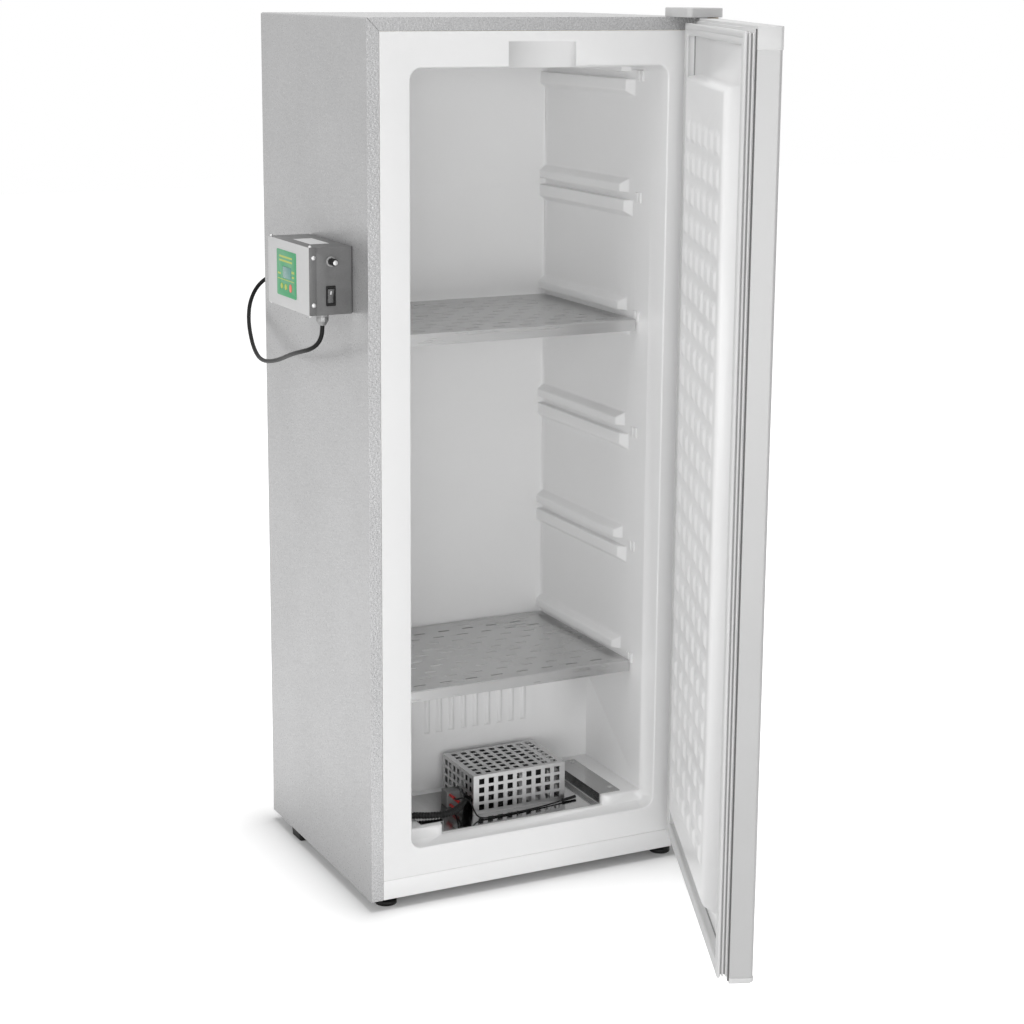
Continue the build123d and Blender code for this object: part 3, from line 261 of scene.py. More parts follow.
def screw_heads():
    """Domed heads with a cross recess, one on each point."""
    tree, given = new_tree("screw_heads", {
        "Radius": "NodeSocketFloat", "Height": "NodeSocketFloat", "Turn": "NodeSocketRotation",
        "Finish": "NodeSocketMaterial",
    })
    radius = given["Radius"]
    height = given["Height"]

    def cuboid(x, y, z, up):
        size = radius.node("ShaderNodeCombineXYZ", {}, {0: x, 1: y, 2: z})
        lift = radius.node("ShaderNodeCombineXYZ", {}, {2: up})
        cube = radius.node("GeometryNodeMeshCube", {}, {"Size": size})
        return radius.node("GeometryNodeTransform", {}, {"Geometry": cube, "Translation": lift})

    ball = radius.node("GeometryNodeMeshUVSphere", {}, {"Segments": 20, "Rings": 12, "Radius": radius})
    flat = radius.node("ShaderNodeCombineXYZ", {}, {0: 1.0, 1: 1.0, 2: height / radius})
    dome = radius.node("GeometryNodeTransform", {}, {"Geometry": ball, "Scale": flat})
    under = cuboid(radius * 4.0, radius * 4.0, height * 2.0, height * -1.0)
    bars = [
        cuboid(radius * 1.05, radius * 0.26, height, height),
        cuboid(radius * 0.26, radius * 1.05, height, height),
    ]
    head = radius.node(
        "GeometryNodeMeshBoolean", {"operation": "DIFFERENCE", "solver": "EXACT"},
        {"Mesh 1": dome, "Mesh 2": [under, *bars]},
    )
    heads = radius.node(
        "GeometryNodeInstanceOnPoints", {},
        {"Points": given["Geometry"], "Instance": head, "Rotation": given["Turn"]},
    )
    close_tree(tree, heads, given["Finish"])
    return tree


screw_tree = screw_heads()
screw_steel = brushed("screw_steel", 0.50, 0.64, 0.34, (1.0, 1.0, 1.0))
facing_front = (pi / 2, 0.0, 0.0)
facing_back = (-pi / 2, 0.0, 0.0)
facing_up = (0.0, 0.0, 0.0)
facing_down = (pi, 0.0, 0.0)


def screws(name, points, turn, radius, height):
    """Screw heads at points of the cabinet, turned so that they face out."""
    seed = bpy.data.meshes.new(name)
    seed.from_pydata(points, [], [])
    values = {"Radius": radius, "Height": height, "Turn": turn, "Finish": screw_steel}
    piece = grown(name, seed, screw_tree, values)
    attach(piece, "cabinet")


back_low, back_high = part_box("back_panel")
screw_inset = 0.007
end_inset = 0.06
screw_gaps = 6
top_spacing = 0.18
screw_pitch = (back_high.z - back_low.z - 2 * end_inset) / screw_gaps
rows = [back_low.z + end_inset + screw_pitch * step for step in range(screw_gaps + 1)]
sides = (back_low.x + screw_inset, back_high.x - screw_inset)
rear_points = [(x, back_high.y, z) for x in sides for z in rows]
rear_points += [(x, back_high.y, back_high.z - screw_inset) for x in (-top_spacing, 0.0, top_spacing)]
screws("back_screws", rear_points, facing_back, radius=0.0038, height=0.0022)


# Inner liner
# One vacuum-formed white sheet makes the front frame, the hollow with its shelf ribs, the floor ledges and
# the fluted step at the lower back. All its edges are soft, as the hot sheet leaves them.

def merged(node):
    """An editable copy of a frame piece with its loose triangles joined into whole faces."""
    form = bmesh.new()
    form.from_mesh(nodes[node].data)
    bmesh.ops.remove_doubles(form, verts=form.verts, dist=0.00001)
    bmesh.ops.dissolve_limit(form, angle_limit=radians(1.0), verts=form.verts, edges=form.edges)
    return form


def any_edge(edge):
    return True


def rounded(form, radius, segments, wanted=any_edge, least=25.0, clamp=True):
    """Rounds the edges of a form that turn by more than a least angle and that a test accepts."""
    edges = [
        edge for edge in form.edges
        if edge.is_manifold and edge.calc_face_angle(0.0) > radians(least) and wanted(edge)
    ]
    bmesh.ops.bevel(
        form, geom=edges, offset=radius, segments=segments, profile=0.5, affect="EDGES",
        clamp_overlap=clamp, offset_type="OFFSET",
    )


body_of = {node: body for body, group in frame["record"]["behaviour"]["bodies"].items() for node in group}


def shaped(name, form, material, *stands_for, smooth=40.0):
    """A finished piece from a form, shaded smooth where it turns gently, in place of frame pieces."""
    mesh = bpy.data.meshes.new(name)
    form.to_mesh(mesh)
    form.free()
    mesh.materials.clear()
    mesh.materials.append(material)
    mesh.shade_smooth()
    mesh.set_sharp_from_angle(angle=radians(smooth))
    piece = placed(name, mesh)
    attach(piece, body_of[stands_for[0]])
    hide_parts(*stands_for)
    return piece


def softened(node, material, radius, segments=2):
    """A copy of a frame piece with its sharp edges rounded."""
    form = merged(node)
    rounded(form, radius, segments)
    return shaped(node + "_soft", form, material, node)


def moulded(name, low, high, rough, clouds=7.0, **constants):
    """Moulded plastic: faint clouding, a fine orange-peel skin and a soft gloss."""
    material, place = finish(name, **constants)
    cloud = place.noise(clouds, 3.0)
    peel = place.noise(420.0, 2.0)
    (cloud * 0.7 + peel * 0.3).tint(low, high).into("Base Color")
    (rough + cloud * 0.05 + peel * 0.08).into("Roughness")
    peel.bump(0.00006).into("Normal")
    return material


white_sheet = moulded("white_sheet", grey(0.85), grey(0.89), 0.28, Coat_Weight=0.15)
liner_low, liner_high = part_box("inner_liner")
liner_form = merged("inner_liner")
liner_wall = 0.0025
hollow_half = 0.224
hollow_floor = 0.098
hollow_ceiling = 1.363
frame_depth = 0.02
slack = 0.0001
hollow_low = Vector((-hollow_half - slack, liner_low.y + frame_depth, hollow_floor - slack))
hollow_high = Vector((hollow_half + slack, liner_high.y - liner_wall + slack, hollow_ceiling + slack))


def in_hollow(edge):
    """True for the edges of the ribs, ledges and flutes on the liner's inner face."""
    return all(
        low <= value <= high
        for vertex in edge.verts for low, value, high in zip(hollow_low, vertex.co, hollow_high)
    )


ledge_top = 0.1165
hump_front = 0.008
hump_shoulder = 0.273
flute_low = 0.2
rib_edge = 0.0022
flute_edge = 0.0028
ledge_edge = 0.005
corner_edge = 0.014


def liner_radius(edge):
    """How far an edge of the hollow is rounded: widely at the step's corners and little at the ribs."""
    if not in_hollow(edge) or edge.calc_face_angle(0.0) < radians(25.0):
        return 0.0
    first, second = (vertex.co for vertex in edge.verts)
    lowest = min(first.z, second.z)
    highest = max(first.z, second.z)
    furthest = max(first.y, second.y)
    at_wall = min(abs(first.x), abs(second.x)) > hollow_high.x - 0.0005
    if highest < ledge_top - 0.001:
        return 0.0
    if lowest < ledge_top + 0.001:
        at_front = furthest < hump_front - 0.1
        return ledge_edge if at_front and not at_wall and highest < ledge_top + 0.001 else 0.0
    if at_wall and furthest < hump_front + 0.001 and highest < hump_shoulder:
        return corner_edge
    if furthest < hump_front + 0.001 and lowest > flute_low and highest < hump_shoulder + 0.002:
        return flute_edge
    return rib_edge


def rounded_by(form, radius_of, widest, segments):
    """A form whose edges are rounded each by its own radius."""
    weight = form.edges.layers.float.new("bevel_weight_edge")
    for edge in form.edges:
        edge[weight] = radius_of(edge) / widest
    mesh = bpy.data.meshes.new("rounding")
    form.to_mesh(mesh)
    form.free()
    piece = placed("rounding", mesh)
    bevel = piece.modifiers.new("rounding", "BEVEL")
    bevel.width = widest
    bevel.segments = segments
    bevel.limit_method = "WEIGHT"
    bevel.use_clamp_overlap = False
    evaluated = piece.evaluated_get(bpy.context.evaluated_depsgraph_get())
    result = bmesh.new()
    result.from_mesh(evaluated.to_mesh())
    bpy.data.objects.remove(piece)
    return result


liner_form = rounded_by(liner_form, liner_radius, corner_edge, 4)
shaped("liner_moulding", liner_form, white_sheet, "inner_liner", smooth=50.0)
softened("shelf_stops", white_sheet, 0.0006)


# Plinth and feet
# A white channel closes the front under the opening. The cabinet stands on two fixed skids at the rear and
# two screw feet at the front, all black moulded plastic.

black_plastic = moulded("black_plastic", grey(0.007), grey(0.014), 0.40, Specular_IOR_Level=0.2)
softened("plinth", white_sheet, 0.0008)
softened("rear_feet", black_plastic, 0.0010)
for foot in ("foot_left", "foot_right"):
    softened(foot, black_plastic, 0.0005)


# Shelves
# Bright stainless sheet with a bent front lip and staggered punched slots. Each shelf rests loose between
# the two ribs of its level and slides out to the front.

stainless = brushed("stainless", 0.52, 0.62, 0.20, (0.05, 1.0, 1.0))
dress(stainless, "upper_shelf", "lower_shelf")


# Heater tray
# A mirror-polished trough folded from thin stainless sheet, whose flanges lie on the floor ledges and are
# held by small screws.

polished_steel = brushed("polished_steel", 0.36, 0.50, 0.03, (1.0, 0.06, 1.0))
tray_low, tray_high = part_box("heater_tray")
tray_sheet = 0.0012
trough_floor = tray_low.z + tray_sheet
bend_radius = 0.0025


def tray_bend(edge):
    """True for the bends between the trough's floor and its sides, on the inside."""
    first, second = (vertex.co for vertex in edge.verts)
    front_to_back = abs(first.x - second.x) < 0.001
    return front_to_back and all(abs(end.z - trough_floor) < 0.0002 for end in (first, second))


tray_form = merged("heater_tray")
rounded(tray_form, bend_radius, 4, tray_bend)
shaped("tray_polished", tray_form, polished_steel, "heater_tray")
tray_spots = [(-0.1675, -0.145), (-0.1675, -0.023), (0.181, -0.161), (0.181, -0.023)]
tray_points = [(*spot, tray_high.z) for spot in tray_spots]
screws("tray_screws", tray_points, facing_up, radius=0.0048, height=0.0022)


# Heater guard
# A box of square-punched stainless sheet, open below, that covers the fan and the heating element. It
# stands on the trough's floor.

guard_steel = brushed("guard_steel", 0.46, 0.64, 0.26, (0.06, 1.0, 1.0))
dress(guard_steel, "heater_cage")


# Fan, heating element and terminals
# A small square fan blows through a near-black finned heating block on two straps, with a snap cut-out on
# one strap and a moulded terminal block beside the fan.

dark_fins = brushed("dark_fins", 0.030, 0.060, 0.42, (1.0, 1.0, 0.1))
dress(dark_fins, "heating_element")
dress(zinc_sheet, "element_brackets")
block_grey = moulded("block_grey", grey(0.15), grey(0.21), 0.42)
for piece in ("fan_frame", "fan_rotor", "thermal_cutout"):
    softened(piece, black_plastic, 0.0004)
softened("terminal_strip", block_grey, 0.0012)


# Wiring to the heater
# A black ribbed conduit comes through an oval bush in the left wall; three insulated wires leave its end
# for red crimped terminals.

conduit_route = [
    (-0.2220, -0.1560, 0.1266), (-0.19605, -0.1570, 0.1262), (-0.1680, -0.1670, 0.1246),
    (-0.14295, -0.1725, 0.1242), (-0.1200, -0.1675, 0.1252), (-0.1065, -0.1585, 0.1273),
    (-0.09495, -0.1480, 0.1305),
]
rib_radius = 0.0062
valley_radius = 0.0049
rib_pitch = 0.005
rib_count = 22
plain_end = 2 * rib_radius


def guided_curve(name, route):
    """A curve of one smooth spline guided by the points of a route."""
    curve = bpy.data.curves.new(name, "CURVE")
    curve.dimensions = "3D"
    spline = curve.splines.new("NURBS")
    spline.points.add(len(route) - 1)
    for point, place in zip(spline.points, route):
        point.co = (*place, 1.0)
    spline.order_u = 3
    spline.use_endpoint_u = True
    spline.resolution_u = 12
    return curve


def curve_points(curve):
    """The points of a guided curve's line."""
    line = placed(curve.name + "_line", curve)
    evaluated = line.evaluated_get(bpy.context.evaluated_depsgraph_get())
    mesh = bpy.data.meshes.new_from_object(evaluated)
    bpy.data.objects.remove(line)
    return [tuple(vertex.co) for vertex in mesh.vertices]


def ribbed_tube():
    """A tube along a curve whose radius swells into evenly spaced ribs between two plain ends."""
    tree, given = new_tree("ribbed_tube", {
        "Rib": "NodeSocketFloat", "Valley": "NodeSocketFloat", "Pitch": "NodeSocketFloat",
        "Plain": "NodeSocketFloat", "Ribbed": "NodeSocketFloat", "Finish": "NodeSocketMaterial",
    })
    curve = given["Geometry"]
    line = curve.node("GeometryNodeResampleCurve", {"mode": "LENGTH"}, {"Curve": curve, "Length": 0.0005})
    along = curve.node("GeometryNodeSplineParameter", {}, {}, "Length") - given["Plain"]
    wave = along.maths("SINE", along / given["Pitch"] * (2 * pi) - pi / 2)
    ribs = (wave * 1.7 + 0.6).clipped()
    inside = along.maths("GREATER_THAN", along, 0.0) * along.maths("LESS_THAN", along, given["Ribbed"])
    radius = given["Valley"] + (given["Rib"] - given["Valley"]) * ribs * inside
    ring = curve.node("GeometryNodeCurvePrimitiveCircle", {}, {"Resolution": 32, "Radius": 1.0})
    tube = curve.node(
        "GeometryNodeCurveToMesh", {},
        {"Curve": line, "Profile Curve": ring, "Scale": radius, "Fill Caps": True},
    )
    smooth = curve.node("GeometryNodeSetShadeSmooth", {}, {"Geometry": tube})
    close_tree(tree, smooth, given["Finish"])
    return tree


conduit_line = curve_points(guided_curve("conduit", conduit_route))
conduit = grown("conduit_ribbed", guided_curve("conduit_guide", conduit_route), ribbed_tube(), {
    "Rib": rib_radius, "Valley": valley_radius, "Pitch": rib_pitch, "Plain": plain_end,
    "Ribbed": rib_count * rib_pitch, "Finish": black_plastic,
})
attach(conduit, "cabinet")
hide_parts("wiring_conduit")


def round_cord(name, route, diameter, material, *stands_for):
    """A round cord along a guided curve, in place of frame pieces."""
    curve = guided_curve(name, route)
    curve.bevel_depth = diameter / 2
    curve.bevel_resolution = 5
    curve.use_fill_caps = True
    curve.materials.append(material)
    cord = placed(name, curve)
    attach(cord, "cabinet")
    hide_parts(*stands_for)
    return cord


wire_rubber = moulded("wire_rubber", grey(0.006), grey(0.012), 0.38, Specular_IOR_Level=0.14)
wire_diameter = 0.0026
wire_spread = 0.00175
wire_straight = 0.009
wire_goals = [(-0.0934, -0.106, 0.1220), (-0.0925, -0.106, 0.1037), (-0.0840, -0.106, 0.1127)]
conduit_end = Vector(conduit_route[-1])
leaving = (conduit_end - Vector(conduit_route[-2])).normalized()
aside = leaving.cross(Vector((0.0, 0.0, 1.0))).normalized() * wire_spread
lift = Vector((0.0, 0.0, wire_spread))
wire_starts = [conduit_end - aside + lift, conduit_end - aside - lift, conduit_end + aside + lift]
wire_lengths = (0.0458, 0.0539, 0.0530)
for number, (start, goal, length) in enumerate(zip(wire_starts, wire_goals, wire_lengths)):
    end = Vector(goal)
    straight = start + leaving * wire_straight
    approach = end - Vector((0.0, wire_straight, 0.0))
    bulge = (straight + approach) / 2 + Vector((0.0, 0.0, 0.002 + number * 0.001))
    wire = round_cord(
        f"heater_wire_{number}", [start, straight, bulge, approach, end], wire_diameter, wire_rubber,
        "heater_wires",
    )
red_sleeve = moulded("red_sleeve", (0.42, 0.010, 0.012, 1.0), (0.55, 0.022, 0.020, 1.0), 0.34)
pale_plastic = moulded("pale_plastic", grey(0.62), grey(0.70), 0.40)
softened("crimp_terminals", red_sleeve, 0.0004)
softened("conduit_bush", pale_plastic, 0.0005)


# Temperature probe
# A thin black lead leaves the conduit with the wires, drops to the trough and runs along its front to a
# plain black probe.

sensor_route = [
    conduit_end + aside - lift, conduit_end + aside - lift + leaving * 0.008, (-0.0820, -0.1405, 0.1290),
    (-0.0775, -0.1425, 0.1215), (-0.0760, -0.1485, 0.1120), (-0.0740, -0.1560, 0.1045),
    (-0.0670, -0.1615, 0.1010), (-0.0520, -0.1630, 0.1006), (-0.0140, -0.1618, 0.1006),
    (0.0240, -0.1590, 0.1006), (0.0560, -0.1550, 0.1009), (0.0780, -0.1512, 0.1016),
    (0.0940, -0.1484, 0.1022),
]
sensor_lead = round_cord("sensor_cord", sensor_route, wire_diameter, wire_rubber, "sensor_lead")
probe = softened("sensor_probe", black_plastic, 0.0006)


# Control box
# A deep grey box is fixed to the left wall. Its lid has a light grey face and folds over the box's ends,
# where screws hold it. A printed film on the lid has a display window, marks and three keys.

def two_tone(piece, material, wanted):
    """Gives a second finish to the faces of a piece that a test accepts."""
    piece.data.materials.append(material)
    for face in piece.data.polygons:
        if wanted(face):
            face.material_index = 1


# The box's grey is clouded widely at a scale of a few centimetres: painted reflections, light and dark
# smudges on its real dark grey paint.
box_paint = moulded("box_paint", grey(0.085), grey(0.205), 0.30, clouds=26.0)
lid_paint = moulded("lid_paint", grey(0.58), grey(0.64), 0.34)
box_low, box_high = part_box("control_box")
box_form = merged("control_box")


def wall_edge(edge):
    """True for the box's outline against the cabinet's wall."""
    return all(vertex.co.x > box_high.x - 0.0002 for vertex in edge.verts) and edge.calc_length() > 0.02


def long_edge(edge):
    """True for the box's own edges, and not for those of the holes in it."""
    return edge.calc_length() > 0.02


rounded(box_form, 0.004, 3, wall_edge, 60.0)
rounded(box_form, 0.0012, 2, long_edge, 60.0)
shaped("control_box_soft", box_form, box_paint, "control_box")
lid_low, lid_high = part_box("control_plate")
lid = softened("control_plate", box_paint, 0.0005)
two_tone(lid, lid_paint, lambda face: face.normal.x < -0.5 and face.center.x < lid_low.x + 0.001)
lip_x = lid_low.x + 0.0078
lip_inset = 0.0165
lip_rows = (lid_low.z + lip_inset, lid_high.z - lip_inset)
for end, y, turn in (("front", lid_low.y, facing_front), ("back", lid_high.y, facing_back)):
    lip_points = [(lip_x, y, z) for z in lip_rows]
    screws(f"lid_screws_{end}", lip_points, turn, radius=0.0039, height=0.0026)
knob_inset = 0.005
knob_rows = (lid_low.y + knob_inset, lid_high.y - knob_inset)
for end, z, turn in (("top", lid_high.z, facing_up), ("under", lid_low.z, facing_down)):
    knobs = [(lid_low.x + 0.004, y, z) for y in knob_rows]
    screws(f"lid_screws_{end}", knobs, turn, radius=0.0032, height=0.0032)

green_film = moulded(
    "green_film", (0.055, 0.33, 0.145, 1.0), (0.075, 0.39, 0.175, 1.0), 0.30, Specular_IOR_Level=0.3,
)
display_glass = moulded("display_glass", (0.10, 0.28, 0.25, 1.0), (0.13, 0.33, 0.29, 1.0), 0.16)
yellow_ink = moulded("yellow_ink", (0.42, 0.50, 0.07, 1.0), (0.52, 0.58, 0.10, 1.0), 0.32)
red_key = moulded("red_key", (0.80, 0.16, 0.11, 1.0), (0.87, 0.20, 0.14, 1.0), 0.32)
board_green = moulded("board_green", (0.02, 0.12, 0.05, 1.0), (0.03, 0.16, 0.07, 1.0), 0.36)
softened("keypad_overlay", green_film, 0.0002)
softened("display_window", display_glass, 0.0002)
softened("key_up", yellow_ink, 0.0002)
softened("key_down", yellow_ink, 0.0002)
softened("key_power", red_key, 0.0002)
dress(board_green, "circuit_board")


def plates(name, places, thickness, material):
    """Thin rectangular plates on a box's faces: each given by its low and high corner."""
    form = bmesh.new()
    for low, high in places:
        middle = (Vector(low) + Vector(high)) / 2
        size = Vector(high) - Vector(low)
        turn = Matrix.Translation(middle) @ Matrix.Diagonal((*size, 1.0))
        bmesh.ops.create_cube(form, size=1.0, matrix=turn)
    rounded(form, thickness / 3, 1, clamp=False)
    mesh = bpy.data.meshes.new(name)
    form.to_mesh(mesh)
    form.free()
    mesh.materials.append(material)
    piece = placed(name, mesh)
    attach(piece, "cabinet")


film_low, film_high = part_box("keypad_overlay")
ink = 0.00012
# Printed bars: distance from the film's rear edge, length, distance below its top edge, height
film_marks = [
    (0.012, 0.057, 0.009, 0.003), (0.012, 0.057, 0.0155, 0.003), (0.066, 0.012, 0.030, 0.004),
    (0.067, 0.010, 0.038, 0.003), (0.005, 0.013, 0.037, 0.003), (0.004, 0.073, 0.0462, 0.0013),
]
mark_places = []
for rear, length, below, height in film_marks:
    high_y = film_high.y - rear
    high_z = film_high.z - below
    mark_places.append(
        ((film_low.x - ink, high_y - length, high_z - height), (film_low.x + ink, high_y, high_z))
    )
plates("film_marks", mark_places, ink, yellow_ink)
paper = moulded("paper", grey(0.74), grey(0.80), 0.55)
label_low = (box_low.x + 0.016, box_low.y + 0.042, box_high.z - 0.0001)
label_high = (box_low.x + 0.048, box_low.y + 0.118, box_high.z + 0.0002)
plates("blank_label", [(label_low, label_high)], 0.0003, paper)

fuse = softened("fuse_cap", black_plastic, 0.0004)
fuse_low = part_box("fuse_cap")[0]
two_tone(fuse, screw_steel, lambda face: face.normal.y < -0.8 and face.center.y < fuse_low.y + 0.0006)
rocker_grey = moulded("rocker_grey", grey(0.10), grey(0.14), 0.22)
holder_grey = moulded("holder_grey", grey(0.32), grey(0.38), 0.34)
softened("fuse_holder", holder_grey, 0.0004)
softened("switch_housing", black_plastic, 0.0004)
rocker = softened("switch_rocker", rocker_grey, 0.0004)
# A small pale bar lies on the upper facet of the rocker.
facets = sorted(rocker.data.polygons, key=lambda face: face.area * (face.normal.y < -0.5))[-2:]
upper = max(facets, key=lambda face: face.center.z)
along = Vector((1.0, 0.0, 0.0))
upright = along.cross(upper.normal).normalized()
stand = Matrix((along, upper.normal, upright)).transposed().to_4x4()
pale_bar_size = Matrix.Diagonal((0.0022, 0.0003, 0.0062, 1.0))
bar = Matrix.Translation(upper.center) @ stand @ pale_bar_size
pale_bar_form = bmesh.new()
bmesh.ops.create_cube(pale_bar_form, size=1.0, matrix=bar)
rounded(pale_bar_form, 0.0001, 1, clamp=False)
pale_bar_mesh = bpy.data.meshes.new("rocker_mark")
pale_bar_form.to_mesh(pale_bar_mesh)
pale_bar_form.free()
pale_bar_mesh.materials.append(paper)
rocker_mark = placed("rocker_mark", pale_bar_mesh)
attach(rocker_mark, "switch_rocker")


# Mains lead
# A black flexible lead hangs from a grey gland under the box, swings round behind the cabinet, is held by
# a clip on the back and drops to the floor, where its two-pin plug lies.

gland_metal = brushed("gland_metal", 0.20, 0.36, 0.40, (1.0, 1.0, 0.3))
softened("cable_gland", gland_metal, 0.0005)
softened("gland_nut", gland_metal, 0.0004)
lead_diameter = 0.007
lead_route = [
    (-0.3435, -0.1480, 0.9660), (-0.3435, -0.1480, 0.9550), (-0.3463, -0.1450, 0.9415),
    (-0.3517, -0.1374, 0.9310), (-0.3570, -0.1230, 0.9240), (-0.3595, -0.1018, 0.9185),
    (-0.3595, -0.0711, 0.9110), (-0.3565, -0.0332, 0.9015), (-0.3495, 0.0279, 0.8845),
    (-0.3460, 0.0919, 0.8700), (-0.3410, 0.1480, 0.8650), (-0.3350, 0.1939, 0.8745),
    (-0.3280, 0.2320, 0.8940), (-0.3190, 0.2660, 0.9170),
    (-0.3070, 0.2910, 0.9430), (-0.2900, 0.3000, 0.9690), (-0.2680, 0.2920, 0.9880),
    (-0.2440, 0.2720, 0.9940), (-0.2240, 0.2510, 0.9840), (-0.2120, 0.2395, 0.9600),
    (-0.2100, 0.2375, 0.9320), (-0.2100, 0.2375, 0.9120), (-0.2100, 0.2375, 0.8801),
    (-0.2090, 0.2380, 0.8263), (-0.2066, 0.2390, 0.7478), (-0.2026, 0.2400, 0.6603),
    (-0.1972, 0.2410, 0.5664), (-0.1902, 0.2420, 0.4724), (-0.1816, 0.2430, 0.3803),
    (-0.1714, 0.2440, 0.2900), (-0.1596, 0.2452, 0.2052), (-0.1460, 0.2468, 0.1277),
    (-0.1290, 0.2490, 0.0702), (-0.1040, 0.2520, 0.0292), (-0.0660, 0.2555, 0.0070),
    (-0.0200, 0.2580, 0.0038), (0.0300, 0.2590, 0.0038), (0.0740, 0.2585, 0.0060),
    (0.1080, 0.2576, 0.0130), (0.1400, 0.2570, 0.0192), (0.1640, 0.2570, 0.0192),
]
mains_lead = round_cord("mains_lead", lead_route, lead_diameter, wire_rubber, "lead_loop", "lead_drop")
plug = softened("mains_plug", black_plastic, 0.0008)
pin_length = 0.019
pins_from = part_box("mains_plug")[1].x - pin_length
two_tone(plug, screw_steel, lambda face: face.center.x > pins_from)
softened("lead_clip", zinc_sheet, 0.0003)


# Hinges
# A zinc-plated plate on the top and an angle bracket under the door each hold a steel pin; a pale moulded
# cover hides the upper one.

cover_grey = moulded("cover_grey", grey(0.54), grey(0.60), 0.36)
dress(zinc_sheet, "upper_hinge_plate")
softened("lower_hinge_bracket", zinc_sheet, 0.0004)
softened("upper_hinge_pin", screw_steel, 0.0004)
softened("lower_hinge_pin", screw_steel, 0.0004)
softened("hinge_cover", cover_grey, 0.0018, 3)


# Door
# A silver-painted skin and a white vacuum-formed liner with rows of soft bumps enclose foam, between
# moulded end caps. A pale magnetic seal with soft folds lies on the liner's rim.

door_paint = moulded("door_paint", grey(0.42), grey(0.47), 0.36, Metallic=0.25)
dress(door_paint, "door_skin")
cap_grey = moulded("cap_grey", grey(0.62), grey(0.68), 0.36)
softened("door_top_cap", cap_grey, 0.0012)
softened("door_bottom_cap", cap_grey, 0.0010)
hinge_axis = Vector((0.287, -0.2666, 0.0))
opened = radians(67.0)
door_turn = (
    Matrix.Translation(hinge_axis) @ Matrix.Rotation(opened, 4, "Z") @ Matrix.Translation(-hinge_axis)
)
to_closed = door_turn.inverted()
door_face = -0.2406
panel_height = 0.028
panel_face = door_face + panel_height
bump_lift = 0.0012
bump_radius = 0.0032
panel_radius = 0.006


def panel_edge(edge):
    """True for the outline of the raised panel's face."""
    middle = to_closed @ ((edge.verts[0].co + edge.verts[1].co) / 2)
    return abs(middle.y - panel_face) < 0.0003 and edge.calc_length() > 0.1


def bump_edge(edge):
    """True for the edges of the bumps on the door liner's raised panel."""
    raised = all((to_closed @ vertex.co).y > panel_face - 0.0003 for vertex in edge.verts)
    return raised and not panel_edge(edge)


door_form = merged("door_liner")
inward = door_turn.to_3x3() @ Vector((0.0, 1.0, 0.0))
for vertex in door_form.verts:
    if (to_closed @ vertex.co).y > panel_face + 0.002:
        vertex.co += inward * bump_lift
rounded(door_form, bump_radius, 3, bump_edge, least=10.0, clamp=False)
rounded(door_form, panel_radius, 4, panel_edge, least=10.0, clamp=False)
door_moulding = shaped("door_moulding", door_form, white_sheet, "door_liner", smooth=60.0)
# The dark grey on the liner rim's cut edge is painted shade of the gap between the seal and the skin.
retainer_grey = moulded("retainer_grey", grey(0.09), grey(0.13), 0.5)


def rim_edge(face):
    """True for the cut edge of the liner's rim, coloured dark as painted shade of the gap between the seal
    and the skin.
    """
    across_rim = abs(face.normal.dot(inward)) < 0.3
    return across_rim and (to_closed @ face.center).y < door_face + 0.003 and face.normal.z < 0.9


two_tone(door_moulding, retainer_grey, rim_edge)

seal_grey = moulded("seal_grey", grey(0.64), grey(0.71), 0.46)
# Outline of the seal's section: distance in from the door's edge and height over the liner's rim
seal_section = [
    (0.0096, 0.0), (0.0086, 0.0006), (0.0086, 0.0020), (0.0104, 0.0028), (0.0116, 0.0036), (0.0114, 0.0046),
    (0.0092, 0.0053), (0.0085, 0.0064), (0.0092, 0.0076), (0.0114, 0.0083), (0.0114, 0.0093),
    (0.0090, 0.0101), (0.0074, 0.0114), (0.0072, 0.0138), (0.0086, 0.0151), (0.0112, 0.0155),
    (0.0146, 0.0151), (0.0166, 0.0140), (0.0186, 0.0151), (0.0224, 0.0154), (0.0254, 0.0143),
    (0.0262, 0.0118), (0.0246, 0.0094), (0.0238, 0.0060), (0.0250, 0.0020), (0.0262, 0.0),
]
rim_sheet = 0.0025
seal_seat = door_face + rim_sheet
door_half = 0.300
door_low = 0.050
door_high = 1.4415
seal_form = bmesh.new()
rings = []
for inset, height in seal_section:
    corners = [
        (x * (door_half - inset), seal_seat + height, z)
        for x, z in (
            (-1, door_low + inset), (1, door_low + inset), (1, door_high - inset), (-1, door_high - inset),
        )
    ]
    rings.append([seal_form.verts.new(door_turn @ Vector(corner)) for corner in corners])
for outer, inner in zip(rings, rings[1:] + rings[:1]):
    for corner in range(4):
        after = (corner + 1) % 4
        seal_form.faces.new((outer[corner], outer[after], inner[after], inner[corner]))
bmesh.ops.recalc_face_normals(seal_form, faces=seal_form.faces)
door_seal = shaped("door_seal", seal_form, seal_grey, "door_gasket", smooth=35.0)


def in_fold(face):
    """True for the faces deep in the seal's folds and at its inner foot, which are painted darker as shade.
    """
    middle = to_closed @ face.center
    inset = min(door_half - abs(middle.x), middle.z - door_low, door_high - middle.z)
    height = middle.y - seal_seat
    fold = 0.0106 < inset < 0.0125 and height < 0.010
    foot = inset > 0.0236 and height < 0.0035
    return fold or foot


# The folds and the inner foot get a darker grey: painted shade.
fold_grey = moulded("fold_grey", grey(0.26), grey(0.32), 0.5)
two_tone(door_seal, fold_grey, in_fold)
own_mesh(door_seal)

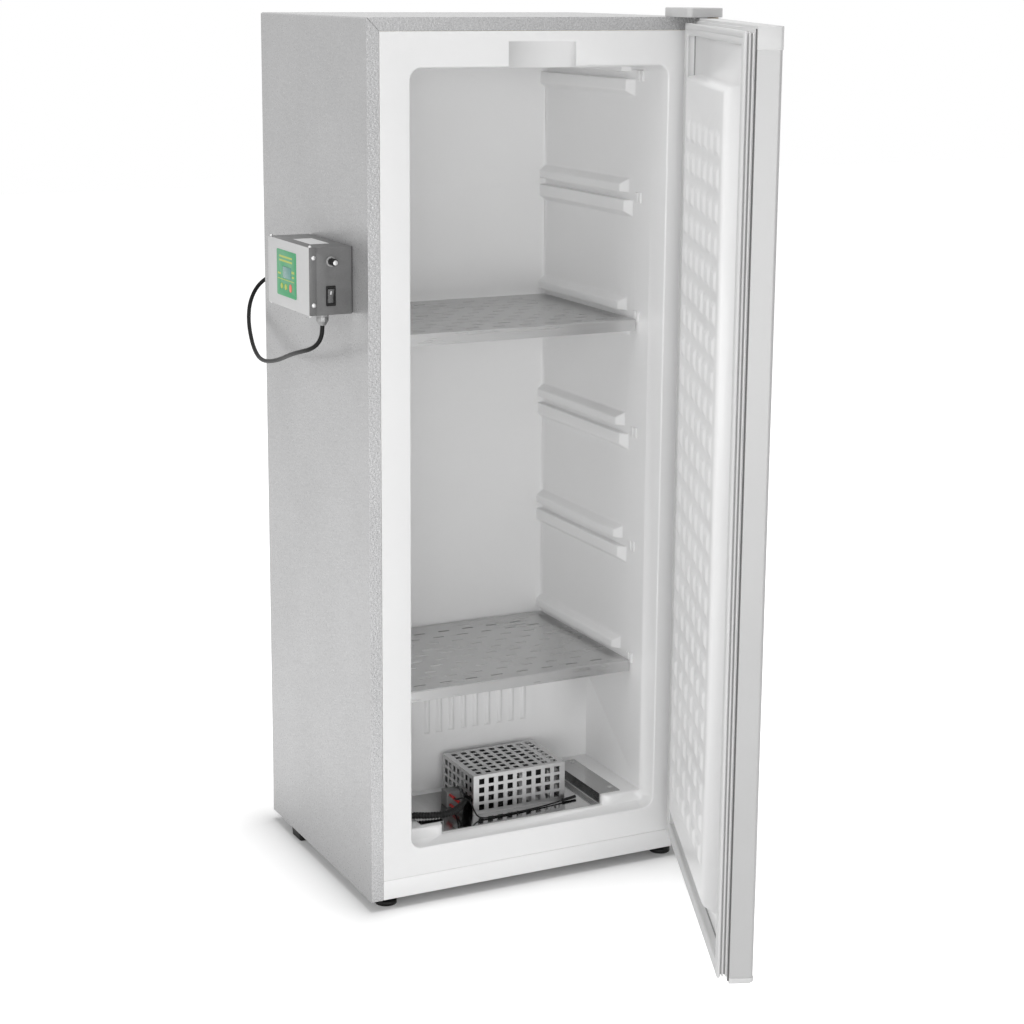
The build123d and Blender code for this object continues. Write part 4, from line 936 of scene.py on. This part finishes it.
brass, place = finish("brass", Metallic=1.0)
turning = place.noise(300.0, 3.0)
turning.tint((0.55, 0.38, 0.14, 1.0), (0.68, 0.50, 0.22, 1.0)).into("Base Color")
(0.24 + turning * 0.14).into("Roughness")
softened("door_bushes", brass, 0.0003)
foam, place = finish("foam", Roughness=0.9)
pores = place.cells(500.0) * 0.6 + place.noise(30.0, 3.0) * 0.4
pores.tint((0.66, 0.56, 0.32, 1.0), (0.80, 0.72, 0.46, 1.0)).into("Base Color")
pores.bump(0.0006).into("Normal")
dress(foam, "insulation_foam", "door_foam")


# Studio
# A pale floor, a white surround and large soft lamps, with the camera where the photograph was taken.

reach = 12.0
floor_mesh = bpy.data.meshes.new("floor")
floor_mesh.from_pydata(
    [(-reach, -reach, 0.0), (reach, -reach, 0.0), (reach, reach, 0.0), (-reach, reach, 0.0)], [],
    [(0, 1, 2, 3)],
)
floor = placed("floor", floor_mesh)
floor_white, place = finish("floor_white", Roughness=0.9, Emission_Color=grey(1.0))
place.noise(3.0).tint(grey(0.89), grey(0.91)).into("Base Color")


def shown_rays(tree):
    """1 for the rays that show the background: straight, in polished metal or through glass."""
    rays = tree.nodes.new("ShaderNodeLightPath").outputs
    straight = Socket(tree, rays["Is Camera Ray"])
    return straight + Socket(tree, rays["Is Glossy Ray"]) + Socket(tree, rays["Is Transmission Ray"])


# The floor's glow fades to nothing at the cabinet's footprint over the shadow reach: a painted shadow round
# the base.
across = place.node("ShaderNodeSeparateXYZ", {}, {0: place}, "X")
ahead = place.node("ShaderNodeSeparateXYZ", {}, {0: place}, "Y")
stand_half_width = 0.30
stand_half_depth = 0.23
shadow_reach = 0.3
floor_glow = 0.78
beside = across.maths("MAXIMUM", across.maths("ABSOLUTE", across) - stand_half_width, 0.0)
before = ahead.maths("MAXIMUM", ahead.maths("ABSOLUTE", ahead) - stand_half_depth, 0.0)
away = across.maths("SQRT", beside * beside + before * before)
painted_shadow_fade = away.maths("SQRT", (away / shadow_reach).clipped())
(shown_rays(place.tree) * painted_shadow_fade * floor_glow).into("Emission Strength")
floor_mesh.materials.append(floor_white)

world = bpy.data.worlds.new("surround")
bpy.context.scene.world = world
world.use_nodes = True
sky = world.node_tree
shown = shown_rays(sky)
ambient = 0.30
strength = ambient + shown * (1.0 - ambient)
sky.links.new(strength.output, sky.nodes["Background"].inputs["Strength"])
sky.nodes["Background"].inputs["Color"].default_value = grey(1.0)

lamp_size = 3.0
half_way_up = Vector((0.0, 0.0, 0.75))


def lamp(name, place, power):
    """A large round soft lamp aimed at the middle of the cabinet."""
    light = bpy.data.lights.new(name, "AREA")
    light.shape = "DISK"
    light.size = lamp_size
    light.energy = power
    bulb = placed(name, light)
    bulb.location = place
    bulb.rotation_euler = (half_way_up - Vector(place)).to_track_quat("-Z", "Y").to_euler()


lamp("front_lamp", (-1.2, -4.6, 0.6), 66.0)
lamp("corner_lamp", (-3.4, -3.8, 1.0), 53.0)
lamp("side_lamp", (-4.2, -0.4, 3.0), 48.0)
lamp("top_lamp", (0.0, -0.3, 4.5), 62.0)
lamp("far_lamp", (4.2, 0.5, 2.4), 42.0)

yaw, pitch, roll = 0.46169, 0.21283, 0.00754
camera = placed("camera", bpy.data.cameras.new("camera"))
camera.location = (-1.60160, -3.35010, 1.50058)
turn = Matrix.Rotation(-yaw, 3, "Z") @ Matrix.Rotation(pi / 2 - pitch, 3, "X") @ Matrix.Rotation(roll, 3, "Z")
camera.rotation_euler = turn.to_euler()
camera.data.lens = 77.36
camera.data.sensor_width = 36.0
camera.data.shift_y = -0.056
bpy.context.scene.camera = camera
bpy.context.scene.view_settings.view_transform = "Standard"
